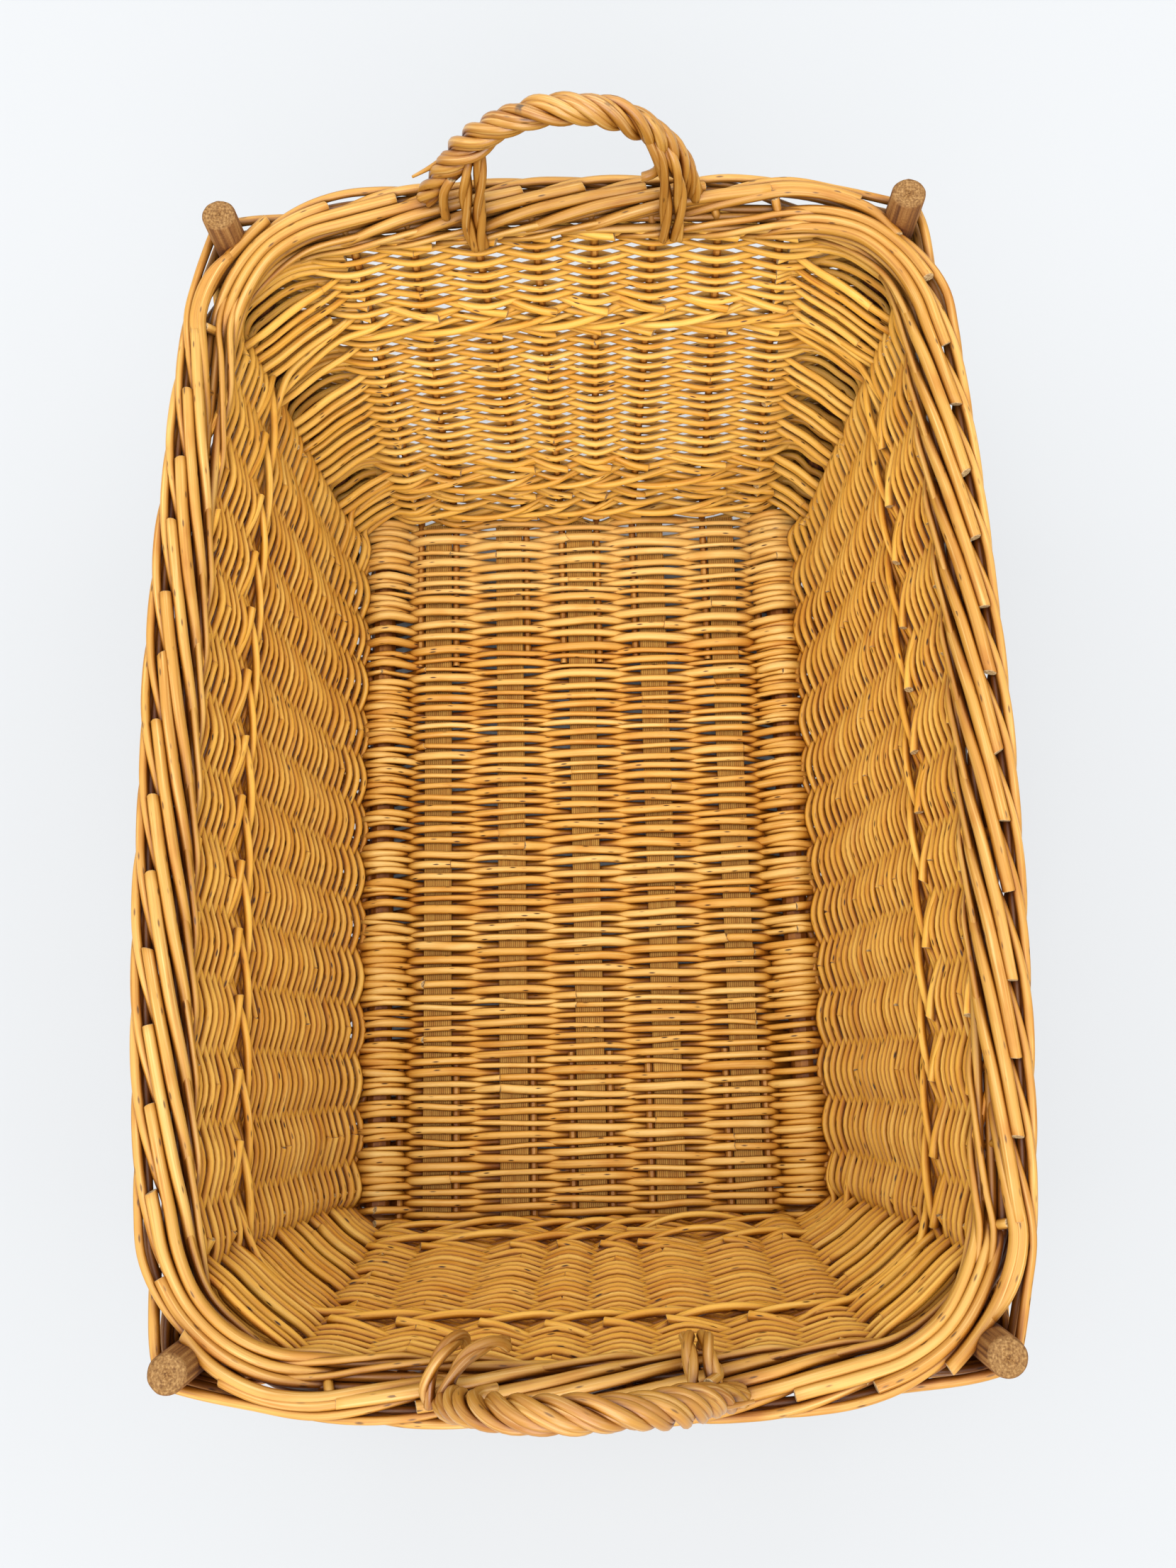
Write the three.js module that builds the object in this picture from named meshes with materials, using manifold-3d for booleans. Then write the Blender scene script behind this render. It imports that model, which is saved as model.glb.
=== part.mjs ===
// A large willow laundry basket: a slatted base mat, forty-four stakes, four corner posts,
// a woven side, a plaited border and two roped handles. Millimetres, +Z up, long side on Y.
// The floor is z = 0 and the origin is under the middle of the base.
import * as THREE from "three";
import { mergeVertices } from "three/addons/utils/BufferGeometryUtils.js";
import Module from "manifold-3d";

// Driving dimensions

const CLEARANCE = 0.3;

// Base mat: five flat slats between two round edge sticks, woven across with rods.
const MAT_HALF_LENGTH = 276;
const MAT_ROD = 5;
const MAT_VALLEY_THICKNESS = 8;
const SLAT_COUNT = 5;
const SLAT_PITCH = 59;
const SLAT_WIDTH = 22;
const SLAT_THICKNESS = 4;
const SLAT_REACH = 7;
const SLAT_LENGTH = (MAT_HALF_LENGTH + SLAT_REACH) * 2;
const SLAT_EDGE = 0.8;
const EDGE_STICK_PITCH = 45;
const EDGE_STICK_X = ((SLAT_COUNT - 1) / 2) * SLAT_PITCH + EDGE_STICK_PITCH;
const EDGE_STICK_DIAMETER = 19.5;
const EDGE_STICK_LENGTH = MAT_HALF_LENGTH * 2;
const EDGE_WRAP = EDGE_STICK_DIAMETER / 2 + CLEARANCE + MAT_ROD;
const MAT_MIDDLE_Z = EDGE_WRAP;
const MAT_EDGE_X = EDGE_STICK_X + EDGE_WRAP;

// Stakes.
const SIDE_STAKES = 14;
const END_STAKES = 8;
const STAKE_DIAMETER = 6;
const STAKE_LEG_LENGTH = 118;

// Woven side.
const WEAVE_ROD = 5.2;
const WEAVE_PINCH = 3.4;
const STAKE_COVER = STAKE_DIAMETER / 2 + CLEARANCE + WEAVE_ROD;
const WEAVE_LIFT = 0.55;
const WEAVE_BOTTOM_Z = MAT_MIDDLE_Z + STAKE_DIAMETER / 2 + WEAVE_LIFT;
const WEAVE_CORNER_LIFT = 0.9;
const WEAVE_CORNER_BOTTOM_Z = MAT_MIDDLE_Z + EDGE_WRAP + WEAVE_CORNER_LIFT;
const WALE_SWELL = 2.6;
const WALE_HEIGHT = 14;
const FOOT_WALE_Z = 38;
const LOW_WALE_Z = 78;
const MID_WALE_Z = 243;
const CORNER_LAYER = 5.6;
const CORNER_VOID_START = 9;

// The line of the stakes: half sizes at the mat's middle and at the height of the post tops,
// and how far each wall bows out in its middle at that height.
const WALL_SIDE_GAP = 0.45;
const WALL_END_GAP = 3.5;
const WALL_FLOOR_X = MAT_EDGE_X + WALL_SIDE_GAP + STAKE_COVER;
const WALL_FLOOR_Y = MAT_HALF_LENGTH + WALL_END_GAP + STAKE_COVER;
const WALL_TOP_X = 222;
const WALL_TOP_Y = 356;
const SIDE_BOW = 21;
const END_BOW = 14;

// How far the last stakes of each wall stand from the lines of the walls round the corner.
const SIDE_STAKE_FLOOR_INSET = 33;
const SIDE_STAKE_TOP_INSET = 64;
const END_STAKE_TOP_INSET = 78.5;
const SIDE_STAKE_FLOOR_REACH = WALL_FLOOR_Y - SIDE_STAKE_FLOOR_INSET;
const SIDE_STAKE_TOP_REACH = WALL_TOP_Y - SIDE_STAKE_TOP_INSET;
const END_STAKE_TOP_REACH = WALL_TOP_X - END_STAKE_TOP_INSET;

// Corner posts: round dowels, cut flat on the floor, leaning out with the walls. Their middles
// lie just off the corners where the lines of the stakes would meet.
const POST_TOP_Z = 355;
const POST_DIAMETER = 22;
const POST_CHAMFER = 1.6;
const POST_FLOOR_OUTSET = 1;
const POST_TOP_OUTSET_X = 0.3;
const POST_TOP_INSET_Y = 4;
const POST_FLOOR_X = WALL_FLOOR_X + POST_FLOOR_OUTSET;
const POST_FLOOR_Y = WALL_FLOOR_Y + POST_FLOOR_OUTSET;
const POST_TOP_X = WALL_TOP_X + POST_TOP_OUTSET_X;
const POST_TOP_Y = WALL_TOP_Y - POST_TOP_INSET_Y;

// Border: a plaited ring, and the rods that lie over it from a cut end by each stake.
const BORDER_BOTTOM_Z = 312;
const BORDER_HEIGHT = 28;
const BORDER_INNER = 10;
const BORDER_OUTER = 21;
const BORDER_CORNER_WRAP = 7.5;
const BORDER_CORNER_OUT = 18;
const BORDER_CORNER_INNER = 6;
const BORDER_ROD = 7.2;
const BORDER_ROD_BERTH = 1.6;
const BUTT_OUT = 8.3;
const BUTT_CORNER_OUT = 14;
const BORDER_TOP_Z = BORDER_BOTTOM_Z + BORDER_HEIGHT;
const BORDER_RING_HEIGHT = BORDER_HEIGHT - BORDER_ROD / 2;

// Roped handles: a bow wound with strands, its ends on the border, and at each foot a pair of
// rods that comes down over the border's inner side into the weave.
const ROPE_DIAMETER = 23;
const ROPE_STRANDS = 4;
const ROPE_GROOVE = 2.4;
const ROPE_TURNS = 1.75;
const ROPE_END_DIAMETER = 15;
const HANDLE_RISE = 87;
const HANDLE_HALF_SPAN = 72;
const HANDLE_FOOT_SPREAD = 14;
const HANDLE_SHOULDER = 12;
const HANDLE_INSET = 3;
const HANDLE_FOOT_OUTSET = 2;
const HANDLE_Y = WALL_TOP_Y + END_BOW - HANDLE_INSET;
const HANDLE_FOOT_Y = HANDLE_Y + HANDLE_FOOT_OUTSET;
const LEG_DIAMETER = 8.4;
const LEG_INSET = 6;
const LEG_X = HANDLE_HALF_SPAN - LEG_INSET;
const LEG_RISE = 38;
const LEG_REACH = 12;
const LEG_TOP_Z = BORDER_TOP_Z + LEG_RISE;
const LEG_END_Z = BORDER_BOTTOM_Z - LEG_REACH;

// Shared forms

const bow = (size, share) => size * (1 - share * share);
const spread = (i, count) => (2 * i) / (count - 1) - 1;
const blend = (a, b, share) => a + (b - a) * share;
const postX = (z) => blend(POST_FLOOR_X, POST_TOP_X, z / POST_TOP_Z);
const postY = (z) => blend(POST_FLOOR_Y, POST_TOP_Y, z / POST_TOP_Z);

// Where the feet of the end stakes lie in the mat: beside a slat, or beside the edge stick.
const besideSlat = (n, hand) =>
  n * SLAT_PITCH + hand * (SLAT_WIDTH / 2 + CLEARANCE + STAKE_DIAMETER / 2 + CLEARANCE);
const besideStick =
  EDGE_STICK_X - EDGE_STICK_DIAMETER / 2 - STAKE_DIAMETER - CLEARANCE * 2;
const FAR_FEET_X = [
  besideSlat(-2, -1),
  besideSlat(-2, 1),
  besideSlat(-1, 1),
  besideSlat(0, -1),
  besideSlat(0, 1),
  besideSlat(1, -1),
  besideSlat(2, -1),
  besideStick,
];

// Every stake is straight from the mat's middle up to the height of the post tops.
const climb = (z) => (z - MAT_MIDDLE_Z) / (POST_TOP_Z - MAT_MIDDLE_Z);

// Stake i of the right wall at height z, counted from the near end.
function sideStake(i, z) {
  const share = spread(i, SIDE_STAKES);
  const topY = share * SIDE_STAKE_TOP_REACH;
  const topX = WALL_TOP_X + bow(SIDE_BOW, topY / WALL_TOP_Y);
  const x = blend(WALL_FLOOR_X, topX, climb(z));
  const y = blend(share * SIDE_STAKE_FLOOR_REACH, topY, climb(z));
  return [x, y];
}

// Stake i of the far wall at height z, counted from the left.
function endStake(i, z) {
  const topX = spread(i, END_STAKES) * END_STAKE_TOP_REACH;
  const topY = WALL_TOP_Y + bow(END_BOW, topX / WALL_TOP_X);
  const x = blend(FAR_FEET_X[i], topX, climb(z));
  const y = blend(WALL_FLOOR_Y, topY, climb(z));
  return [x, y];
}

// Half a turn about the vertical axis takes the right wall to the left one.
const turned = ([x, y]) => [-x, -y];

// The stations round the wall at height z, anticlockwise from the near end of the right side:
// stakes with the outward direction there, and the post at each corner.
function stations(z) {
  const half = [];
  for (let i = 0; i < SIDE_STAKES; i++) {
    half.push({ kind: "side", at: sideStake(i, z) });
  }
  half.push({ kind: "post", at: [postX(z), postY(z)] });
  for (let i = END_STAKES - 1; i >= 0; i--) {
    half.push({ kind: "end", at: endStake(i, z) });
  }
  half.push({ kind: "post", at: [-postX(z), postY(z)] });
  const other = half.map(({ kind, at }) => ({ kind, at: turned(at) }));
  return [...half, ...other];
}

// Outward direction at station k: square to the line through its neighbouring stakes.
function outward(list, k) {
  const n = list.length;
  const here = list[k];
  let before = list[(k + n - 1) % n];
  let after = list[(k + 1) % n];
  if (before.kind === "post") before = here;
  if (after.kind === "post") after = here;
  const dx = after.at[0] - before.at[0];
  const dy = after.at[1] - before.at[1];
  const length = Math.hypot(dx, dy);
  return [dy / length, -dx / length];
}

const along = ([x, y], [dx, dy], distance) => [x + dx * distance, y + dy * distance];
const middle = (a, b, share = 1 / 2) => [
  a[0] + (b[0] - a[0]) * share,
  a[1] + (b[1] - a[1]) * share,
];

// Points round a post, over the outer quarter of its circle and a little more at each side.
// The flats between them stay clear of the circle of that radius.
function postArc(centre, radius, steps, overlap = 0) {
  const quarter = Math.PI / 2;
  const first = centre[0] > 0 ? (centre[1] > 0 ? 0 : 3) : centre[1] > 0 ? 1 : 2;
  const step = (quarter + overlap * 2) / steps;
  const reach = radius / Math.cos(step / 2);
  const arc = [];
  for (let i = 0; i <= steps; i++) {
    const turn = first * quarter - overlap + step * i;
    arc.push([centre[0] + reach * Math.cos(turn), centre[1] + reach * Math.sin(turn)]);
  }
  return arc;
}

const circle = (centre, radius, sides, phase = 0) =>
  Array.from({ length: sides }, (_, i) => {
    const turn = phase + (i / sides) * Math.PI * 2;
    return [centre[0] + radius * Math.cos(turn), centre[1] + radius * Math.sin(turn)];
  });

// Solids from loops

const HAIR_SHARE = 1e-4;

class Skin {
  constructor() {
    this.points = [];
    this.faces = [];
  }

  loop(points) {
    const first = this.points.length;
    this.points.push(...points);
    return points.map((_, i) => first + i);
  }

  // Joins two loops of as many points; the second lies ahead of the first.
  wall(a, b) {
    const n = a.length;
    for (let i = 0; i < n; i++) {
      const j = (i + 1) % n;
      this.faces.push([a[i], a[j], b[j]], [a[i], b[j], b[i]]);
    }
  }

  // Closes an outline with holes. flat gives each loop's points in the plane of the face.
  // They are triangulated a hair off the plane's grid, where no three lie exactly in line.
  cap(loops, flat, up) {
    const size = Math.max(...flat[0].flat().map(Math.abs));
    const bend = HAIR_SHARE / size;
    const vectors = flat.map((loop) =>
      loop.map(([x, y]) => new THREE.Vector2(x + y * y * bend, y + x * x * bend)),
    );
    const [contour, ...holes] = vectors;
    const ids = loops.flat();
    const anticlockwise = !THREE.ShapeUtils.isClockWise(contour);
    for (const [a, b, c] of THREE.ShapeUtils.triangulateShape(contour, holes)) {
      const face = [ids[a], ids[b], ids[c]];
      this.faces.push(anticlockwise === up ? face : face.reverse());
    }
  }

  geometry() {
    const used = this.faces.flat().flatMap((i) => this.points[i]);
    const made = new THREE.BufferGeometry();
    made.setAttribute("position", new THREE.Float32BufferAttribute(used, 3));
    return made;
  }
}

const lift = (loop, z) => loop.map(([x, y]) => [x, y, z]);

// A tube along points with a section that may change: ring(i) gives the section there as
// [across, up] pairs, in a frame that is carried along the path.
function tube(path, ring) {
  const points = path.map((p) => new THREE.Vector3(...p));
  const last = points.length - 1;
  const tangents = points.map((_, i) => {
    const before = points[Math.max(i - 1, 0)];
    const after = points[Math.min(i + 1, last)];
    return after.clone().sub(before).normalize();
  });
  const start = Math.abs(tangents[0].z) < 0.9 ? new THREE.Vector3(0, 0, 1) : new THREE.Vector3(1, 0, 0);
  let side = start.clone().cross(tangents[0]).normalize();
  const skin = new Skin();
  let previous = null;
  points.forEach((p, i) => {
    const t = tangents[i];
    side = side.sub(t.clone().multiplyScalar(side.dot(t))).normalize();
    const up = t.clone().cross(side);
    const outline = ring(i / last, i);
    const loop = skin.loop(
      outline.map(([a, b]) => [
        p.x + side.x * a + up.x * b,
        p.y + side.y * a + up.y * b,
        p.z + side.z * a + up.z * b,
      ]),
    );
    if (previous) skin.wall(previous, loop);
    else skin.cap([loop], [outline], false);
    if (i === last) skin.cap([loop], [outline], true);
    previous = loop;
  });
  return skin.geometry();
}

// An even round section for a tube.
const round = (diameter, sides) => () => circle([0, 0], diameter / 2, sides, Math.PI / sides);

// Materials

const willow = new THREE.MeshStandardMaterial({ color: 0xc99552, roughness: 0.55 });
const border = new THREE.MeshStandardMaterial({ color: 0xd9a65e, roughness: 0.5 });
const stakeWood = new THREE.MeshStandardMaterial({ color: 0xb5793a, roughness: 0.6 });
const slatWood = new THREE.MeshStandardMaterial({ color: 0x7a4a2a, roughness: 0.75 });
const postWood = new THREE.MeshStandardMaterial({ color: 0x8d6236, roughness: 0.7 });
const handleWillow = new THREE.MeshStandardMaterial({ color: 0xcf9346, roughness: 0.4 });

const basket = new THREE.Group();
function add(name, geometry, material) {
  const mesh = new THREE.Mesh(geometry, material);
  mesh.name = name;
  basket.add(mesh);
}

// Corner posts

const POST_SIDES = 14;
const CORNERS = [
  ["far_right", 1, 1],
  ["far_left", -1, 1],
  ["near_left", -1, -1],
  ["near_right", 1, -1],
];
for (const [corner, handX, handY] of CORNERS) {
  const skin = new Skin();
  const rings = [
    [0, POST_DIAMETER / 2],
    [POST_TOP_Z - POST_CHAMFER, POST_DIAMETER / 2],
    [POST_TOP_Z, POST_DIAMETER / 2 - POST_CHAMFER],
  ];
  const loops = rings.map(([z, radius]) =>
    circle([handX * postX(z), handY * postY(z)], radius, POST_SIDES),
  );
  const ids = loops.map((loop, i) => skin.loop(lift(loop, rings[i][0])));
  skin.wall(ids[0], ids[1]);
  skin.wall(ids[1], ids[2]);
  skin.cap([ids[0]], [loops[0]], false);
  skin.cap([ids[2]], [loops[2]], true);
  add(`corner_post_${corner}`, skin.geometry(), postWood);
}

// Base slats and edge sticks

for (let i = 0; i < SLAT_COUNT; i++) {
  const x = (i - (SLAT_COUNT - 1) / 2) * SLAT_PITCH;
  const w = SLAT_WIDTH / 2;
  const t = SLAT_THICKNESS / 2;
  const e = SLAT_EDGE;
  const section = [
    [-w, -t + e],
    [-w + e, -t],
    [w - e, -t],
    [w, -t + e],
    [w, t - e],
    [w - e, t],
    [-w + e, t],
    [-w, t - e],
  ];
  const skin = new Skin();
  const ends = [SLAT_LENGTH / 2, -SLAT_LENGTH / 2].map((y) =>
    skin.loop(section.map(([a, b]) => [x + a, y, MAT_MIDDLE_Z + b])),
  );
  skin.wall(ends[0], ends[1]);
  skin.cap([ends[0]], [section], false);
  skin.cap([ends[1]], [section], true);
  add(`base_slat_${i + 1}`, skin.geometry(), slatWood);
}

const STICK_SIDES = 12;
for (const [hand, name] of [
  [-1, "left"],
  [1, "right"],
]) {
  const y = EDGE_STICK_LENGTH / 2;
  const x = hand * EDGE_STICK_X;
  const path = [
    [x, y, MAT_MIDDLE_Z],
    [x, -y, MAT_MIDDLE_Z],
  ];
  add(`base_edge_stick_${name}`, tube(path, round(EDGE_STICK_DIAMETER, STICK_SIDES)), stakeWood);
}

// Stakes

// Each stake turns up at the foot of the wall: its leg lies flat in or against the mat.
const STAKE_SIDES = 8;
const STAKE_TOP_Z = BORDER_BOTTOM_Z - CLEARANCE;

// The stake's section stays square to the leg below the bend and level above it.
function stake(legEnd, foot, top) {
  const r = STAKE_DIAMETER / 2;
  const skin = new Skin();
  const legDirection = new THREE.Vector3(...foot).sub(new THREE.Vector3(...legEnd)).normalize();
  const across = new THREE.Vector3(0, 0, 1).cross(legDirection);
  const ring = circle([0, 0], r, STAKE_SIDES, Math.PI / STAKE_SIDES);
  const placed = (centre, up) =>
    ring.map(([a, b]) => [
      centre[0] + across.x * a + up.x * b,
      centre[1] + across.y * a + up.y * b,
      centre[2] + across.z * a + up.z * b,
    ]);
  const vertical = new THREE.Vector3(0, 0, 1);
  const rise = new THREE.Vector3(...top).sub(new THREE.Vector3(...foot));
  const mitre = rise.divideScalar(rise.z).sub(legDirection);
  const level = legDirection.clone().negate();
  const loops = [
    placed(legEnd, vertical),
    placed(foot, mitre),
    placed(top, level),
  ].map((loop) => skin.loop(loop));
  skin.wall(loops[0], loops[1]);
  skin.wall(loops[1], loops[2]);
  skin.cap([loops[0]], [ring], false);
  skin.cap([loops[2]], [ring], true);
  return skin.geometry();
}

const HANDS = { right: 1, left: -1, far: 1, near: -1 };

function addStake(wall, i, legEnd, foot, top) {
  const hand = HANDS[wall];
  const placed = ([x, y], z) => [hand * x, hand * y, z];
  const legZ = MAT_MIDDLE_Z;
  const made = stake(placed(legEnd, legZ), placed(foot, legZ), placed(top, STAKE_TOP_Z));
  add(`stake_${wall}_${String(i + 1).padStart(2, "0")}`, made, stakeWood);
}
for (const wall of ["right", "left"]) {
  for (let i = 0; i < SIDE_STAKES; i++) {
    const foot = sideStake(i, MAT_MIDDLE_Z);
    addStake(wall, i, [MAT_EDGE_X + CLEARANCE, foot[1]], foot, sideStake(i, STAKE_TOP_Z));
  }
}
for (const wall of ["far", "near"]) {
  for (let i = 0; i < END_STAKES; i++) {
    const foot = endStake(i, MAT_MIDDLE_Z);
    const legEndY = MAT_HALF_LENGTH - STAKE_LEG_LENGTH;
    addStake(wall, i, [foot[0], legEndY], foot, endStake(i, STAKE_TOP_Z));
  }
}

// Base mat

// The mat's outline across the basket: rods swell over each slat and wrap the edge sticks.
function matOutline() {
  const hump = SLAT_THICKNESS / 2 + CLEARANCE + MAT_ROD;
  const valley = MAT_VALLEY_THICKNESS / 2;
  const humpHalf = SLAT_WIDTH / 2 + STAKE_DIAMETER + CLEARANCE;
  const top = [];
  for (let n = -(SLAT_COUNT - 1) / 2; n <= (SLAT_COUNT - 1) / 2; n++) {
    const x = n * SLAT_PITCH;
    top.push([x - humpHalf - MAT_ROD, valley]);
    top.push([x - humpHalf, hump]);
    top.push([x + humpHalf, hump]);
    top.push([x + humpHalf + MAT_ROD, valley]);
  }
  const turn = Math.PI / STICK_SIDES;
  const wrapped = EDGE_WRAP / Math.cos(turn);
  const rightWrap = [];
  for (let i = 0; i < STICK_SIDES - 2; i++) {
    const angle = -Math.PI + turn * 3 + i * turn * 2;
    rightWrap.push([EDGE_STICK_X + wrapped * Math.cos(angle), wrapped * Math.sin(angle)]);
  }
  const neck = [EDGE_STICK_X - EDGE_WRAP, hump];
  const leftWrap = rightWrap.map(([x, z]) => [-x, -z]);
  return [
    ...top.map(([x, z]) => [x, -z]),
    [neck[0], -neck[1]],
    ...rightWrap,
    neck,
    ...top.reverse(),
    [-neck[0], neck[1]],
    ...leftWrap,
    [-neck[0], -neck[1]],
  ];
}

function makeMat() {
  const skin = new Skin();
  const place = (loop, y) => skin.loop(loop.map(([x, z]) => [x, y, MAT_MIDDLE_Z + z]));
  const outline = matOutline();
  const through = [];
  for (let i = 0; i < SLAT_COUNT; i++) {
    const x = (i - (SLAT_COUNT - 1) / 2) * SLAT_PITCH;
    const w = SLAT_WIDTH / 2 + CLEARANCE;
    const t = SLAT_THICKNESS / 2 + CLEARANCE;
    through.push([
      [x - w, -t],
      [x + w, -t],
      [x + w, t],
      [x - w, t],
    ]);
  }
  for (const x of [-EDGE_STICK_X, EDGE_STICK_X]) {
    const bore = EDGE_STICK_DIAMETER / 2 + CLEARANCE;
    through.push(circle([x, 0], bore, STICK_SIDES, Math.PI / STICK_SIDES));
  }
  const bore = STAKE_DIAMETER / 2 + CLEARANCE;
  const pocketSides = STAKE_SIDES;
  const nearY = -MAT_HALF_LENGTH;
  const farY = MAT_HALF_LENGTH;
  const ends = [nearY, farY].map((y) => {
    const s = Math.sign(y);
    const feet = FAR_FEET_X.map((x) => s * x);
    const pockets = feet.map((x) => circle([x, 0], bore, pocketSides, Math.PI / pocketSides));
    return {
      y,
      s,
      outline: place(outline, y),
      through: through.map((loop) => place(loop, y)),
      pockets: pockets.map((loop) => place(loop, y)),
      flat: [outline, ...through, ...pockets],
      pocketFlat: pockets,
    };
  });
  const [near, far] = ends;
  // Seen from the near end, x runs right and z up, and the far end lies behind the page.
  skin.wall(far.outline, near.outline);
  near.through.forEach((loop, i) => skin.wall(loop, far.through[i]));
  skin.cap([near.outline, ...near.through, ...near.pockets], near.flat, true);
  skin.cap([far.outline, ...far.through, ...far.pockets], far.flat, false);
  for (const end of ends) {
    end.pockets.forEach((loop, i) => {
      const bottomY = end.y - end.s * (STAKE_LEG_LENGTH + CLEARANCE);
      const bottom = place(end.pocketFlat[i], bottomY);
      if (end.s > 0) skin.wall(bottom, loop);
      else skin.wall(loop, bottom);
      skin.cap([bottom], [end.pocketFlat[i]], end.s < 0);
    });
  }
  return skin.geometry();
}
add("base_weave", makeMat(), willow);

// Joining

// Faces that lie this close to their neighbours' plane are joined with them.
const JOIN_TOLERANCE = 0.05;
const MERGE_DISTANCE = 1e-3;

const wasm = await Module();
wasm.setup();

function solid(geometry) {
  const merged = mergeVertices(geometry, MERGE_DISTANCE);
  return new wasm.Manifold(
    new wasm.Mesh({
      numProp: 3,
      vertProperties: merged.attributes.position.array,
      triVerts: new Uint32Array(merged.index.array),
    }),
  );
}

function geometryOf(made) {
  const { vertProperties, triVerts } = made.simplify(JOIN_TOLERANCE).getMesh();
  const geometry = new THREE.BufferGeometry();
  geometry.setAttribute("position", new THREE.BufferAttribute(vertProperties, 3));
  geometry.setIndex(new THREE.BufferAttribute(triVerts, 1));
  return geometry;
}

// Woven side

const ARC_STEPS = 4;

// Outer and inner outlines of the wall at height z, swollen by a wale. raised marks the
// points of the inner one that lie in the layer across a corner.
function wallOutlines(z, swell) {
  const list = stations(z);
  const n = list.length;
  const outer = [];
  const inner = [];
  const raised = [];
  list.forEach((station, k) => {
    const next = list[(k + 1) % n];
    if (station.kind === "post") {
      const radius = POST_DIAMETER / 2 + CLEARANCE + CORNER_LAYER + swell;
      outer.push(...postArc(station.at, radius, ARC_STEPS));
      return;
    }
    const out = outward(list, k);
    outer.push(along(station.at, out, STAKE_COVER + swell));
    inner.push(along(station.at, out, -STAKE_COVER - swell));
    if (next.kind !== "post") {
      const half = middle(station.at, next.at);
      outer.push(along(half, out, WEAVE_PINCH + swell));
      inner.push(along(half, out, -WEAVE_PINCH - swell));
    } else {
      const across = list[(k + 2) % n];
      const inwards = -CORNER_LAYER / 2 - swell;
      const square = diagonalOut(station.at, across.at);
      const layer = cornerLayer(station.at, across.at).map((p) => along(p, square, inwards));
      layer.forEach((_, i) => raised.push(inner.length + i));
      inner.push(...layer);
    }
  });
  return { outer, inner, raised };
}

// Direction square to the diagonal between the last stake of one wall and the first of the next.
function diagonalOut(a, b) {
  const dx = b[0] - a[0];
  const dy = b[1] - a[1];
  const length = Math.hypot(dx, dy);
  return [dy / length, -dx / length];
}

// Points of the inner layer across a corner: rods run nearly straight from stake to stake.
function cornerLayer(a, b) {
  return CORNER_SHARES.map((share) =>
    along(middle(a, b, share), diagonalOut(a, b), CORNER_LAYER * (1 - (2 * share - 1) ** 2)),
  );
}
const CORNER_SHARES = [0.1, 0.5, 0.9];

// The hollow at a corner between the two layers, where the post stands. Its arc runs a little
// past the quarter turn at each end, in radians.
const ARC_OVERLAP_TURN = 0.35;
function cornerVoid(a, post, b) {
  const toPost = ([x, y]) => {
    const length = Math.hypot(post[0] - x, post[1] - y);
    return [(post[0] - x) / length, (post[1] - y) / length];
  };
  const start = along(a, toPost(a), CORNER_VOID_START);
  const end = along(b, toPost(b), CORNER_VOID_START);
  const arc = postArc(post, POST_DIAMETER / 2 + CLEARANCE, ARC_STEPS, ARC_OVERLAP_TURN);
  const layer = cornerLayer(a, b).map((p) => along(p, diagonalOut(a, b), CORNER_LAYER / 2));
  return [start, ...arc, end, ...layer.reverse()];
}

const LEVELS = [
  [WEAVE_BOTTOM_Z, 0],
  [FOOT_WALE_Z, WALE_SWELL],
  [(FOOT_WALE_Z + LOW_WALE_Z) / 2, 0],
  [LOW_WALE_Z, WALE_SWELL],
  [LOW_WALE_Z + WALE_HEIGHT / 2, 0],
  [MID_WALE_Z - WALE_HEIGHT / 2, 0],
  [MID_WALE_Z, WALE_SWELL],
  [MID_WALE_Z + WALE_HEIGHT / 2, 0],
  [BORDER_BOTTOM_Z - CLEARANCE, 0],
];

// Hollows for the posts and bores for the stakes at height z. Each starts on its station.
function wallHoles(z) {
  const list = stations(z);
  const n = list.length;
  const voids = [];
  const bores = [];
  list.forEach((station, k) => {
    if (station.kind === "post") {
      voids.push(cornerVoid(list[(k + n - 1) % n].at, station.at, list[(k + 1) % n].at));
    } else {
      const bore = STAKE_DIAMETER / 2 + CLEARANCE;
      bores.push(circle(station.at, bore, STAKE_SIDES, Math.PI / STAKE_SIDES));
    }
  });
  return { voids, bores };
}

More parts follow.
